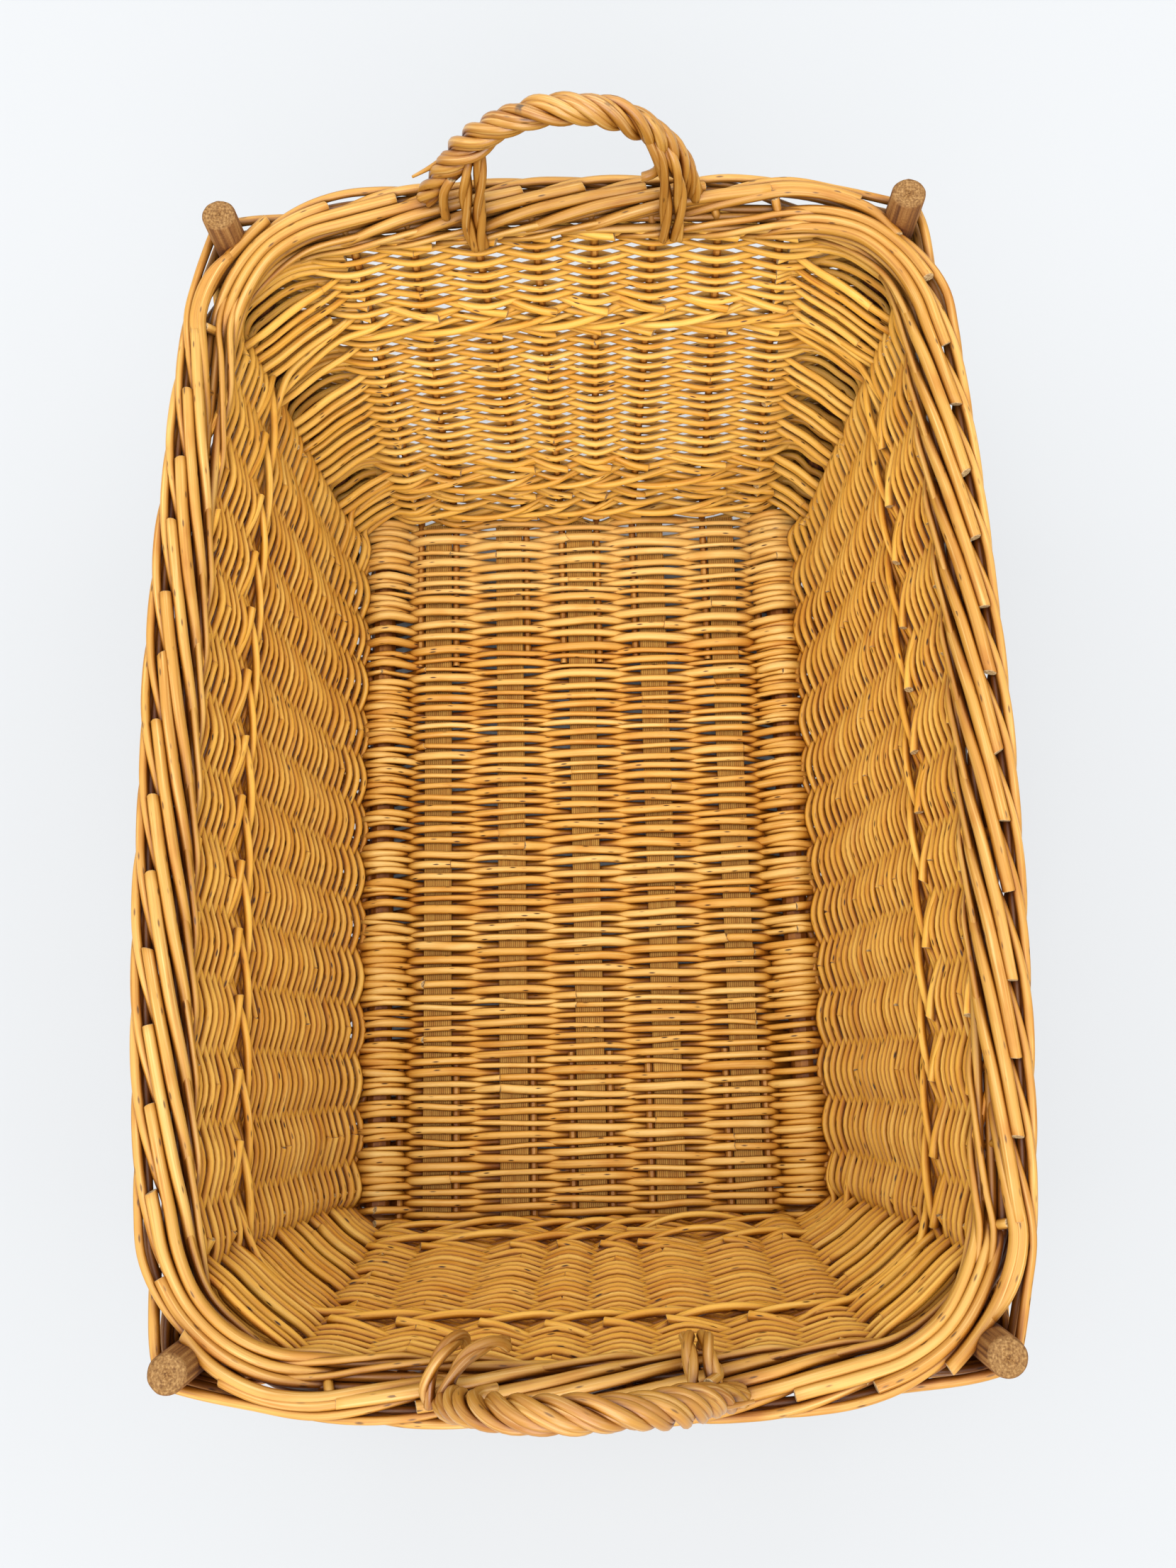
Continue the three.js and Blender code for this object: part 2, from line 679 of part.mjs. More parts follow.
function makeWeave() {
  const skin = new Skin();
  const bottomZ = LEVELS[0][0];
  const topZ = LEVELS.at(-1)[0];
  const flat = LEVELS.map(([z, swell]) => wallOutlines(z, swell));
  const low = wallHoles(bottomZ);
  const high = wallHoles(topZ);

  // The layer across each corner starts higher, over the mat's corner.
  const raise = ([x, y]) => [x, y, WEAVE_CORNER_BOTTOM_Z];
  const bottomInner = lift(flat[0].inner, bottomZ);
  for (const i of flat[0].raised) bottomInner[i] = raise(bottomInner[i]);
  const bottomVoids = low.voids.map((loop) => {
    const layerStart = loop.length - CORNER_SHARES.length;
    return lift(loop, bottomZ).map((p, i) => (i < layerStart ? p : raise(p)));
  });

  const outer = flat.map(({ outer: loop }, i) => skin.loop(lift(loop, LEVELS[i][0])));
  const inner = flat.map(({ inner: loop }, i) =>
    skin.loop(i ? lift(loop, LEVELS[i][0]) : bottomInner),
  );
  for (let i = 0; i + 1 < LEVELS.length; i++) {
    skin.wall(outer[i], outer[i + 1]);
    skin.wall(inner[i + 1], inner[i]);
  }
  const lowHoles = [...bottomVoids, ...low.bores.map((loop) => lift(loop, bottomZ))];
  const highHoles = [...high.voids, ...high.bores];
  const lowIds = lowHoles.map((loop) => skin.loop(loop));
  const highIds = highHoles.map((loop) => skin.loop(lift(loop, topZ)));
  lowIds.forEach((loop, i) => skin.wall(highIds[i], loop));
  const bottomFlat = [flat[0].outer, bottomInner, ...lowHoles];
  skin.cap([outer[0], inner[0], ...lowIds], bottomFlat, false);
  const top = flat.at(-1);
  skin.cap([outer.at(-1), inner.at(-1), ...highIds], [top.outer, top.inner, ...highHoles], true);
  return skin.geometry();
}

// The mat's room, which the layers across the corners pass over.
function matRoom() {
  const half = [MAT_EDGE_X + CLEARANCE, MAT_HALF_LENGTH + CLEARANCE, WEAVE_CORNER_BOTTOM_Z];
  return wasm.Manifold.cube(half.map((size) => size * 2), true);
}
add("side_weave", geometryOf(solid(makeWeave()).subtract(matRoom())), willow);

// Border

// The ring's rounded section: shares of its height, its outer and its inner reach.
const BORDER_SECTION_SHARES = [
  [0, 0.6, 0.9],
  [0.25, 0.92, 1],
  [0.6, 1, 1],
  [1, 0.7, 0.5],
];
const POST_HOLE_STEPS = 12;
const BORDER_CORNER_SHARES = [0.2, 0.5, 0.8];

// The border's line across a corner runs from stake to stake by way of the post's inner side.
function cornerLine(before, after, share, offset) {
  const square = diagonalOut(before.at, after.at);
  const swing = BORDER_CORNER_OUT * (1 - (2 * share - 1) ** 2);
  return along(middle(before.at, after.at, share), square, swing + offset);
}

function borderOutlines(z, outerShare, innerShare) {
  const list = stations(z);
  const n = list.length;
  const outer = [];
  const inner = [];
  list.forEach((station, k) => {
    if (station.kind === "post") {
      const wrap = BORDER_CORNER_WRAP * outerShare;
      outer.push(...postArc(station.at, POST_DIAMETER / 2 + CLEARANCE + wrap, ARC_STEPS));
      return;
    }
    const out = outward(list, k);
    outer.push(along(station.at, out, BORDER_OUTER * outerShare));
    inner.push(along(station.at, out, -BORDER_INNER * innerShare));
    if (list[(k + 1) % n].kind === "post") {
      const after = list[(k + 2) % n];
      const offset = -BORDER_CORNER_INNER * innerShare;
      inner.push(...BORDER_CORNER_SHARES.map((share) => cornerLine(station, after, share, offset)));
    }
  });
  return { outer, inner };
}

function borderRing() {
  const skin = new Skin();
  const postHoles = (z) => {
    const reach = (POST_DIAMETER / 2 + CLEARANCE) / Math.cos(Math.PI / POST_HOLE_STEPS);
    const posts = stations(z).filter((station) => station.kind === "post");
    return posts.map((station) => circle(station.at, reach, POST_HOLE_STEPS));
  };
  const levels = BORDER_SECTION_SHARES.map(([height, outerShare, innerShare]) => {
    const z = BORDER_BOTTOM_Z + BORDER_RING_HEIGHT * height;
    const { outer, inner } = borderOutlines(z, outerShare, innerShare);
    return { z, outer, inner, ids: [skin.loop(lift(outer, z)), skin.loop(lift(inner, z))] };
  });
  for (let i = 0; i + 1 < levels.length; i++) {
    skin.wall(levels[i].ids[0], levels[i + 1].ids[0]);
    skin.wall(levels[i + 1].ids[1], levels[i].ids[1]);
  }
  const [bottom, top] = [levels[0], levels.at(-1)];
  const holes = [bottom, top].map(({ z }) => postHoles(z));
  const [low, high] = holes.map((loops, i) =>
    loops.map((loop) => skin.loop(lift(loop, (i ? top : bottom).z))),
  );
  low.forEach((loop, i) => skin.wall(high[i], loop));
  skin.cap([...bottom.ids, ...low], [bottom.outer, bottom.inner, ...holes[0]], false);
  skin.cap([...top.ids, ...high], [top.outer, top.inner, ...holes[1]], true);
  return skin.geometry();
}

// A rod's course from its cut end: stations on from there, then shares of its way in across the
// border, of its dive into it and of its thickness.
const ROD_COURSE_SHARES = [
  [0, 0, 0, 1],
  [1, 0.37, 0, 0.96],
  [1.9, 0.7, 0.9, 0.8],
];
const BUTT_SHARE = 0.25;
const CORNER_BUTT_SHARES = [-0.25, 0.25];
const LEAST_STEP_SHARE = 0.25;
const ROD_SIDES = 5;

// The course's column at so many stations past the cut end.
function course(column, past) {
  const i = past < ROD_COURSE_SHARES[1][0] ? 0 : 1;
  const [a, b] = [ROD_COURSE_SHARES[i], ROD_COURSE_SHARES[i + 1]];
  return blend(a[column], b[column], (past - a[0]) / (b[0] - a[0]));
}

// The point at a place counted in stations round the border, so far outside the stakes' line,
// kept clear of the posts.
function borderPoint(place, offset, z, clear) {
  const list = stations(z);
  const n = list.length;
  const k = Math.floor(place);
  const at = (i) => (i + n) % n;
  const [here, next] = [list[at(k)], list[at(k + 1)]];
  if (here.kind !== "post" && next.kind !== "post") {
    const [a, b] = [outward(list, at(k)), outward(list, at(k + 1))];
    return along(middle(here.at, next.at, place - k), middle(a, b, place - k), offset);
  }
  const post = here.kind === "post" ? k : k + 1;
  const share = (place - post + 1) / 2;
  const [before, after] = [list[at(post - 1)], list[at(post + 1)]];
  const point = cornerLine(before, after, share, offset);
  const centre = list[at(post)].at;
  const distance = Math.hypot(point[0] - centre[0], point[1] - centre[1]);
  return distance < clear ? middle(centre, point, clear / distance) : point;
}

function borderRod(start, out) {
  const last = ROD_COURSE_SHARES.at(-1)[0];
  const list = stations(BORDER_TOP_Z);
  const nearPost = (place) =>
    [Math.floor(place), Math.ceil(place)].some((k) => list[(k + list.length) % list.length].kind === "post");
  const places = [start];
  for (let place = Math.ceil(start * 2) / 2; place < start + last - LEAST_STEP_SHARE; place += 1 / 2) {
    if (place > start && (Number.isInteger(place) || nearPost(place))) places.push(place);
  }
  places.push(start + last);
  const radii = places.map((place) => (BORDER_ROD / 2) * course(3, place - start));
  const path = places.map((place, i) => {
    const past = place - start;
    const z = BORDER_TOP_Z - BORDER_ROD / 2 - course(2, past) * radii[i];
    const clear = POST_DIAMETER / 2 + BORDER_ROD_BERTH + radii[i];
    return [...borderPoint(place, blend(out, -BORDER_INNER, course(1, past)), z, clear), z];
  });
  return tube(path, (_, i) => circle([0, 0], radii[i], ROD_SIDES, Math.PI / 2));
}

function makeBorder() {
  const list = stations(BORDER_TOP_Z);
  let made = solid(borderRing());
  list.forEach((station, k) => {
    const starts =
      station.kind === "post"
        ? CORNER_BUTT_SHARES.map((share) => [k + share, BUTT_CORNER_OUT])
        : [[k + BUTT_SHARE, BUTT_OUT]];
    for (const [start, out] of starts) made = made.add(solid(borderRod(start, out)));
  });
  return geometryOf(made);
}
add("border", makeBorder(), border);

// Handles

const BOW_STEPS = 27;
const FOOT_SHARE = 0.14;
const LEG_SIDES = 8;

// The middle line of the far handle's bow: an arch whose feet spread and turn down.
const ARCH_TURN_SHARES = [0.09, 0.2, 0.35, 0.5, 0.65, 0.8, 0.91];
function bowPath() {
  const springZ = BORDER_TOP_Z + HANDLE_SHOULDER;
  const rise = HANDLE_RISE - HANDLE_SHOULDER;
  const footX = HANDLE_HALF_SPAN + HANDLE_FOOT_SPREAD;
  const footZ = BORDER_TOP_Z - ROPE_END_DIAMETER / 2;
  const arch = new THREE.CatmullRomCurve3([
    new THREE.Vector3(-footX, HANDLE_FOOT_Y, footZ),
    ...ARCH_TURN_SHARES.map((share) => {
      const turn = Math.PI * (1 - share);
      const x = HANDLE_HALF_SPAN * Math.cos(turn);
      return new THREE.Vector3(x, HANDLE_Y, springZ + rise * Math.sin(turn));
    }),
    new THREE.Vector3(footX, HANDLE_FOOT_Y, footZ),
  ]);
  return arch.getSpacedPoints(BOW_STEPS).map((p) => [p.x, p.y, p.z]);
}

// Grooved section of the rope, turning as it goes and drawn in at both ends.
function ropeSection(share) {
  const fromEnd = Math.min(share, 1 - share) / FOOT_SHARE;
  const full = fromEnd < 1 ? blend(ROPE_END_DIAMETER, ROPE_DIAMETER, fromEnd) : ROPE_DIAMETER;
  const groove = ROPE_GROOVE * Math.min(fromEnd, 1);
  const points = ROPE_STRANDS * 2;
  return Array.from({ length: points }, (_, i) => {
    const turn = (i / points + share * ROPE_TURNS) * Math.PI * 2;
    const radius = full / 2 - (i % 2 ? groove : 0);
    return [radius * Math.cos(turn), radius * Math.sin(turn)];
  });
}

// A rod from the bow down over the border's inner side to the weave. Above the border its course
// is in shares of the way out to the bow and of the leg's rise.
const LEG_COURSE_SHARES = [
  [1, 1],
  [0.6, 0.6],
  [0.25, 0.15],
];
function legPath(x) {
  const stakeY = (z) => WALL_FLOOR_Y + (endTopY(x) - WALL_FLOOR_Y) * climb(z);
  const clear = LEG_DIAMETER / 2 + CLEARANCE;
  const borderMiddle = BORDER_BOTTOM_Z + BORDER_HEIGHT / 2;
  const beside = stakeY(BORDER_BOTTOM_Z) - STAKE_COVER - clear - CLEARANCE;
  return [
    ...LEG_COURSE_SHARES.map(([outShare, upShare]) => [
      x,
      blend(beside, HANDLE_Y, outShare),
      blend(BORDER_TOP_Z, LEG_TOP_Z, upShare),
    ]),
    [x, beside, borderMiddle],
    [x, beside, BORDER_BOTTOM_Z],
    [x, stakeY(LEG_END_Z) - STAKE_COVER - clear, LEG_END_Z],
  ];
}
const endTopY = (x) => WALL_TOP_Y + bow(END_BOW, x / WALL_TOP_X);

function makeHandle(hand) {
  const place = (path) => path.map(([x, y, z]) => [hand * x, hand * y, z]);
  const bow = solid(tube(place(bowPath()), ropeSection));
  let made = bow.trimByPlane([0, 0, 1], BORDER_TOP_Z + CLEARANCE);
  for (const side of [-1, 1]) {
    for (const twin of [-1, 1]) {
      const x = side * (LEG_X + (twin * (LEG_DIAMETER + CLEARANCE * 2)) / 2);
      made = made.add(solid(tube(place(legPath(x)), round(LEG_DIAMETER, LEG_SIDES))));
    }
  }
  return geometryOf(made);
}
add("handle_far", makeHandle(1), handleWillow);
add("handle_near", makeHandle(-1), handleWillow);

export default basket;
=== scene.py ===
"""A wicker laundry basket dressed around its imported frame. Metres, +Z up, long side on Y."""

import math

import bpy
import numpy as np
from mathutils import Matrix, Vector


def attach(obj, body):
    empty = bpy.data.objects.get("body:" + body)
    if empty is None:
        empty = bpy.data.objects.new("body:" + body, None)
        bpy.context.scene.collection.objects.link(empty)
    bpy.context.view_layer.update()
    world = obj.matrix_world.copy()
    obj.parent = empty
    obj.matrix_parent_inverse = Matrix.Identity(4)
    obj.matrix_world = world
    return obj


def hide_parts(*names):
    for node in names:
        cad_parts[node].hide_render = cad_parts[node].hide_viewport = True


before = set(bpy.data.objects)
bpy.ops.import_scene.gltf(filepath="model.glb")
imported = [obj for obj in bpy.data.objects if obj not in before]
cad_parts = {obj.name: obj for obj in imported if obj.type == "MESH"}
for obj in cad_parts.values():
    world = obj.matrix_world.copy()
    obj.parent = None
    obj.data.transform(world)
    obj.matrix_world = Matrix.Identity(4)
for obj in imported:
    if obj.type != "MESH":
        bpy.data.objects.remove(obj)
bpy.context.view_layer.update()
RNG = np.random.default_rng(20)

# The basket's plan, as in the frame

MM = 0.001
POST_TOP_Z = 0.355
POST_RADIUS = 0.011
POST_FLOOR = (0.188, 0.289)
POST_TOP = (0.2223, 0.352)
WALL_FLOOR = (0.187, 0.288)
WALL_TOP = (0.222, 0.356)
SIDE_BOW = 0.021
END_BOW = 0.014
SIDE_STAKES = 14
END_STAKES = 8
STAKE_RADIUS = 0.003
SIDE_STAKE_FLOOR_REACH = 0.255
SIDE_STAKE_TOP_REACH = 0.292
END_STAKE_TOP_REACH = 0.1435
MAT_MIDDLE_Z = 0.01505
MAT_HALF_LENGTH = 0.276
SLAT_PITCH = 0.059
SLAT_COUNT = 5
EDGE_STICK_X = 0.163
EDGE_STICK_RADIUS = 0.00975
FAR_FEET_X = np.array([-132.6, -103.4, -44.4, -14.6, 14.6, 44.4, 103.4, 146.65]) * MM
BORDER_TOP_Z = 0.340


def lift(plan, z):
    """A place in plan, at height z."""
    return [plan[0], plan[1], z]


def blend(a, b, share):
    return a + (b - a) * share


def climb(z):
    """How far up a stake height z lies, from 0 at the mat to 1 at the posts' tops."""
    return (z - MAT_MIDDLE_Z) / (POST_TOP_Z - MAT_MIDDLE_Z)


def post_place(z):
    """Where the far right post's middle line passes height z."""
    share = z / POST_TOP_Z
    return blend(POST_FLOOR[0], POST_TOP[0], share), blend(POST_FLOOR[1], POST_TOP[1], share)


def corner_square(before, after):
    """The outward direction in plan, square to the line across a corner."""
    chord = after - before
    return np.array([chord[1], -chord[0]]) / np.linalg.norm(chord)


def quarter(post):
    """Which quarter of the plan a post stands in, anticlockwise from far right."""
    if post[1] > 0:
        return 0 if post[0] > 0 else 1
    return 3 if post[0] > 0 else 2


def stations(z):
    """The stakes and posts round the wall at height z, anticlockwise from the near end of the
    right side: points, outward directions and which of them are posts."""
    up = climb(z)
    side = np.linspace(-1, 1, SIDE_STAKES)
    top_y = side * SIDE_STAKE_TOP_REACH
    top_x = WALL_TOP[0] + SIDE_BOW * (1 - (top_y / WALL_TOP[1]) ** 2)
    right = np.stack([blend(WALL_FLOOR[0], top_x, up), blend(side * SIDE_STAKE_FLOOR_REACH, top_y, up)], 1)
    end = np.linspace(-1, 1, END_STAKES)
    end_x = end * END_STAKE_TOP_REACH
    end_y = WALL_TOP[1] + END_BOW * (1 - (end_x / WALL_TOP[0]) ** 2)
    far = np.stack([blend(FAR_FEET_X, end_x, up), blend(WALL_FLOOR[1], end_y, up)], 1)[::-1]
    px, py = post_place(z)
    half = np.concatenate([right, [[px, py]], far, [[-px, py]]])
    points = np.concatenate([half, -half])
    is_post = np.zeros(len(half), bool)
    is_post[[SIDE_STAKES, -1]] = True
    is_post = np.concatenate([is_post, is_post])
    before = np.roll(points, 1, 0)
    after = np.roll(points, -1, 0)
    before[np.roll(is_post, 1)] = points[np.roll(is_post, 1)]
    after[np.roll(is_post, -1)] = points[np.roll(is_post, -1)]
    chord = after - before
    out = np.stack([chord[:, 1], -chord[:, 0]], 1)
    out /= np.linalg.norm(out, axis=1, keepdims=True)
    return points, out, is_post


STATION_COUNT = 2 * (SIDE_STAKES + END_STAKES + 2)
HALF_ROUND = STATION_COUNT // 2
IS_POST = stations(BORDER_TOP_Z)[2]


# Rods: tapered round sweeps gathered into one mesh


def spline(points, step):
    """A smooth curve through the points, sampled about every step."""
    p = np.asarray(points, float)
    if len(p) < 3:
        count = max(2, int(np.linalg.norm(p[-1] - p[0]) / step) + 1)
        return np.linspace(p[0], p[-1], count)
    h = np.maximum(np.linalg.norm(np.diff(p, axis=0), axis=1), 1e-9)
    d = np.diff(p, axis=0) / h[:, None]
    m = np.empty_like(p)
    m[1:-1] = (d[:-1] * h[1:, None] + d[1:] * h[:-1, None]) / (h[1:] + h[:-1])[:, None]
    m[0] = 1.5 * d[0] - 0.5 * m[1]
    m[-1] = 1.5 * d[-1] - 0.5 * m[-2]
    pieces = []
    for i, length in enumerate(h):
        n = max(1, int(round(length / step)))
        t = (np.arange(n) / n)[:, None]
        a = (2 * t**3 - 3 * t**2 + 1) * p[i] + (t**3 - 2 * t**2 + t) * length * m[i]
        b = (3 * t**2 - 2 * t**3) * p[i + 1] + (t**3 - t**2) * length * m[i + 1]
        pieces.append(a + b)
    pieces.append(p[-1:])
    return np.concatenate(pieces)


def frames(path, reference=None):
    """Tangents, sides and ups along a path, carried along it or kept square to reference."""
    t = np.gradient(path, axis=0)
    t /= np.maximum(np.linalg.norm(t, axis=1, keepdims=True), 1e-12)
    if reference is not None:
        side = np.cross(np.broadcast_to(reference, t.shape), t)
        side /= np.linalg.norm(side, axis=1, keepdims=True)
        return t, side, np.cross(t, side)
    side = np.empty_like(t)
    first = np.eye(3)[np.argmin(np.abs(t[0]))]
    s = np.cross(first, t[0])
    for i, tangent in enumerate(t):
        s = s - tangent * s.dot(tangent)
        s /= np.linalg.norm(s)
        side[i] = s
    return t, side, np.cross(t, side)


UP = np.array([0.0, 0.0, 1.0])
# How much a cut end's edge is rounded and how far it leans, in radii
BEVEL = 0.14
CUT_SLANT = 0.5
# Each rod takes its grain from its own part of this length
GRAIN_LENGTH = 40


class Rods:
    """Rods of one piece, and what their material reads: tone, grain and cut ends."""

    def __init__(self, name, sides):
        self.name = name
        self.sides = sides
        self.points, self.faces, self.caps = [], [], []
        self.tone, self.grain, self.cut = [], [], []
        self.count = 0

    def add(self, path, radius, reference=None):
        """One rod along a path, with a slanting cut at each end."""
        path = np.asarray(path, float)
        radius = np.broadcast_to(np.asarray(radius, float), (len(path),))
        t, side, up = frames(path, reference)
        first = path[:1] - t[:1] * radius[0] * BEVEL
        last = path[-1:] + t[-1:] * radius[-1] * BEVEL
        path = np.concatenate([first, path, last])
        radius = np.concatenate([[radius[0] * (1 - BEVEL)], radius, [radius[-1] * (1 - BEVEL)]])
        side = np.concatenate([side[:1], side, side[-1:]])
        up = np.concatenate([up[:1], up, up[-1:]])
        turn = np.arange(self.sides) / self.sides * 2 * np.pi
        c, s = np.cos(turn), np.sin(turn)
        ring = (
            path[:, None]
            + side[:, None] * (radius[:, None] * c)[..., None]
            + up[:, None] * (radius[:, None] * s)[..., None]
        )
        for end, rows, sign in ((0, (0, 1), -1), (-1, (-1, -2), 1)):
            lean = np.cos(turn - RNG.random() * 2 * np.pi) * radius[end] * CUT_SLANT * RNG.random()
            for row in rows:
                ring[row] += t[end] * sign * lean[:, None]
        length = np.concatenate([[0], np.cumsum(np.linalg.norm(np.diff(path, axis=0), axis=1))])
        along = np.broadcast_to((length + RNG.random() * GRAIN_LENGTH)[:, None], ring.shape[:2])
        grain = np.stack([along, radius[:, None] * c, radius[:, None] * s], 2)
        cut = np.zeros(ring.shape[:2])
        cut[0] = cut[-1] = 1
        self.join(ring, grain, cut)

    def join(self, ring, grain, cut):
        """Skin rows of ring points, closed by a flat face at each end."""
        n = len(ring)
        self.points.append(ring.reshape(-1, 3))
        self.grain.append(grain.reshape(-1, 3))
        self.cut.append(cut.ravel())
        self.tone.append(np.full(n * self.sides, RNG.random()))
        i = np.arange(n - 1)[:, None] * self.sides
        j = np.arange(self.sides)[None]
        k = (j + 1) % self.sides
        above = i + self.sides
        first = self.count
        self.faces.append(np.stack([i + j, i + k, above + k, above + j], 2).reshape(-1, 4) + first)
        self.caps.append(np.stack([first + j[0][::-1], first + (n - 1) * self.sides + j[0]]))
        self.count += n * self.sides

    def build(self, material, slot, *nodes):
        """Make the rods one mesh that shows in place of the CAD nodes."""
        points = np.concatenate(self.points)
        quads = np.concatenate(self.faces)
        caps = np.concatenate(self.caps)
        mesh = bpy.data.meshes.new(self.name)
        mesh.vertices.add(len(points))
        mesh.vertices.foreach_set("co", points.ravel())
        loops = np.concatenate([quads.ravel(), caps.ravel()])
        mesh.loops.add(len(loops))
        mesh.loops.foreach_set("vertex_index", loops)
        cap_starts = quads.size + np.arange(len(caps)) * self.sides
        starts = np.concatenate([np.arange(len(quads)) * 4, cap_starts])
        mesh.polygons.add(len(starts))
        mesh.polygons.foreach_set("loop_start", starts)
        smooth = np.ones(len(starts), bool)
        smooth[len(quads):] = False
        mesh.polygons.foreach_set("use_smooth", smooth)
        mesh.update(calc_edges=True)
        for name, values in (("tone", self.tone), ("cut", self.cut)):
            made = mesh.attributes.new(name, "FLOAT", "POINT")
            made.data.foreach_set("value", np.concatenate(values))
        grain = mesh.attributes.new("grain", "FLOAT_VECTOR", "POINT")
        grain.data.foreach_set("vector", np.concatenate(self.grain).ravel())
        piece = bpy.data.objects.new(self.name, mesh)
        bpy.context.scene.collection.objects.link(piece)
        mesh.materials.append(material)
        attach(piece, "root")
        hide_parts(*nodes)


# Materials

BUMP_DEPTH = 0.0004
PLAIN_SHINE = 0.2


class Shader:
    """Short calls for node materials."""

    def __init__(self, name):
        self.material = bpy.data.materials.new(name)
        self.material.use_nodes = True
        self.tree = self.material.node_tree
        self.bsdf = self.tree.nodes["Principled BSDF"]

    def node(self, kind, inputs=None, **settings):
        made = self.tree.nodes.new(kind)
        for key, value in settings.items():
            setattr(made, key, value)
        for key, value in (inputs or {}).items():
            self.put(made.inputs[key], value)
        return made

    def put(self, socket, value):
        if isinstance(value, bpy.types.NodeSocket):
            self.tree.links.new(value, socket)
        else:
            socket.default_value = value

    def attribute(self, name, output):
        return self.node("ShaderNodeAttribute", attribute_name=name).outputs[output]

    def scaled(self, vector, scale):
        return self.node("ShaderNodeVectorMath", {0: vector, 1: scale}, operation="MULTIPLY").outputs[0]

    def parts(self, vector):
        return self.node("ShaderNodeSeparateXYZ", {0: vector}).outputs

    def noise(self, vector, detail):
        inputs = {"Vector": vector, "Scale": 1.0, "Detail": detail, "Roughness": 0.5}
        return self.node("ShaderNodeTexNoise", inputs).outputs["Fac"]

    def math(self, operation, a, b=0.0):
        return self.node("ShaderNodeMath", {0: a, 1: b}, operation=operation).outputs[0]

    def ramp(self, value, stops):
        made = self.node("ShaderNodeValToRGB", {"Fac": value})
        ramp = made.color_ramp
        while len(ramp.elements) < len(stops):
            ramp.elements.new(0.5)
        for element, (position, colour) in zip(ramp.elements, stops):
            element.position = position
            element.color = (*colour, 1)
        return made.outputs["Color"]

    def step(self, value, low, high, to_low=0.0, to_high=1.0):
        inputs = {"Value": value, "From Min": low, "From Max": high, "To Min": to_low, "To Max": to_high}
        return self.node("ShaderNodeMapRange", inputs).outputs["Result"]

    def mix(self, factor, a, b, blend_type="MIX"):
        made = self.node("ShaderNodeMix", data_type="RGBA", blend_type=blend_type)
        self.put(made.inputs["Factor"], factor)
        for socket, value in ((made.inputs[6], a), (made.inputs[7], b)):
            self.put(socket, (*value, 1) if isinstance(value, tuple) else value)
        return made.outputs[2]

    def times(self, colour, tint, factor=1.0):
        return self.mix(factor, colour, tint, "MULTIPLY")

    def openness(self, reach, samples):
        """How little stands near a place, from 0 to 1."""
        return self.node("ShaderNodeAmbientOcclusion", {"Distance": reach}, samples=samples).outputs["AO"]

    def paint_crevice_shade(self, colour, share=1.0):
        """Painted shade: darker and browner where neighbours stand close. Painted light: a little lighter
        where nothing stands near.
        """
        tint = self.ramp(self.openness(CREVICE_REACH, CREVICE_SAMPLES), CREVICE_SHADE_AND_LIGHT_TINTS)
        return self.times(colour, tint, share)

    def done(self, colour, roughness, height, strength, distance=BUMP_DEPTH, shine=PLAIN_SHINE):
        self.put(self.bsdf.inputs["Base Color"], self.times(colour, WOOD_DEPTH))
        self.put(self.bsdf.inputs["Roughness"], roughness)
        self.put(self.bsdf.inputs["Specular IOR Level"], shine)
        bump = self.node("ShaderNodeBump", {"Height": height, "Strength": strength, "Distance": distance})
        self.put(self.bsdf.inputs["Normal"], bump.outputs["Normal"])
        return self.material


def srgb(r, g, b):
    return tuple((c / 255 / 12.92) if c <= 10.3 else ((c / 255 + 0.055) / 1.055) ** 2.4 for c in (r, g, b))


# Wood takes this share of what its shades say, and the lights are strong enough for it
WOOD_DEPTH = (0.60, 0.60, 0.60)
# Painted shade and light from openness: how far it looks, and tints from closed to open places; below 1 is
# painted shade in gaps, above 1 painted light on open places
CREVICE_REACH = 0.018
CREVICE_SAMPLES = 6
CREVICE_SHADE_AND_LIGHT_TINTS = [
    (0.32, (0.26, 0.12, 0.016)),
    (0.52, (0.48, 0.29, 0.065)),
    (0.66, (0.74, 0.54, 0.22)),
    (0.78, (0.90, 0.78, 0.50)),
    (0.90, (1.00, 0.95, 0.80)),
    (1.0, (1.10, 1.10, 1.10)),
]
# The far wall faces the light, so less painted shade goes in its gaps, from the first Y to the second
FAR_WALL_Y = (0.18, 0.30)
FAR_WALL_SHADE_SHARE = 0.4

# How fine the patterns of willow are, along the grain and across it
STREAKS = (16, 800, 800)
PATCHES = (30, 60, 60)
SPECKS = (105, 460, 460)
CUT_GRAIN = (0, 900, 900)
# Scuffs have no grain
SCUFFS = (70, 70, 70)
# Where each pattern shows: its values that give none and all of it, and how much that is
PATCH_RANGE = (0.50, 0.28)
DARK_STREAK_RANGE = (0.54, 0.80, 0.0, 0.8)
PALE_STREAK_RANGE = (0.46, 0.25, 0.0, 0.4)
SPECK_RANGE = (0.34, 0.16)
SPECK_CHOICE = (0.82, 0.88)
SCUFF_RANGE = (0.60, 0.66)
SCUFF_FADE = 0.004
SCUFF_SIDE = (0, 0.01, 0, 0.85)
CUT_RANGE = (0.4, 0.8)
GLOSS_PATCHES = (0.3, 0.7)
GLOSS_SPREAD = (0.12, -0.04)
STREAK_RELIEF = 0.5
SPECK_RELIEF = 0.7
WILLOW_BUMP = 0.35

PATCH_TINT = (0.86, 0.72, 0.48)
DARK_STREAK_TINT = (0.62, 0.44, 0.20)
PALE_STREAK = srgb(250, 216, 150)
SPECK_BROWN = srgb(80, 46, 20)
SCUFF_BLACK = srgb(52, 46, 40)
CUT_SHADES = [(0.35, srgb(150, 112, 70)), (0.6, srgb(222, 190, 138))]


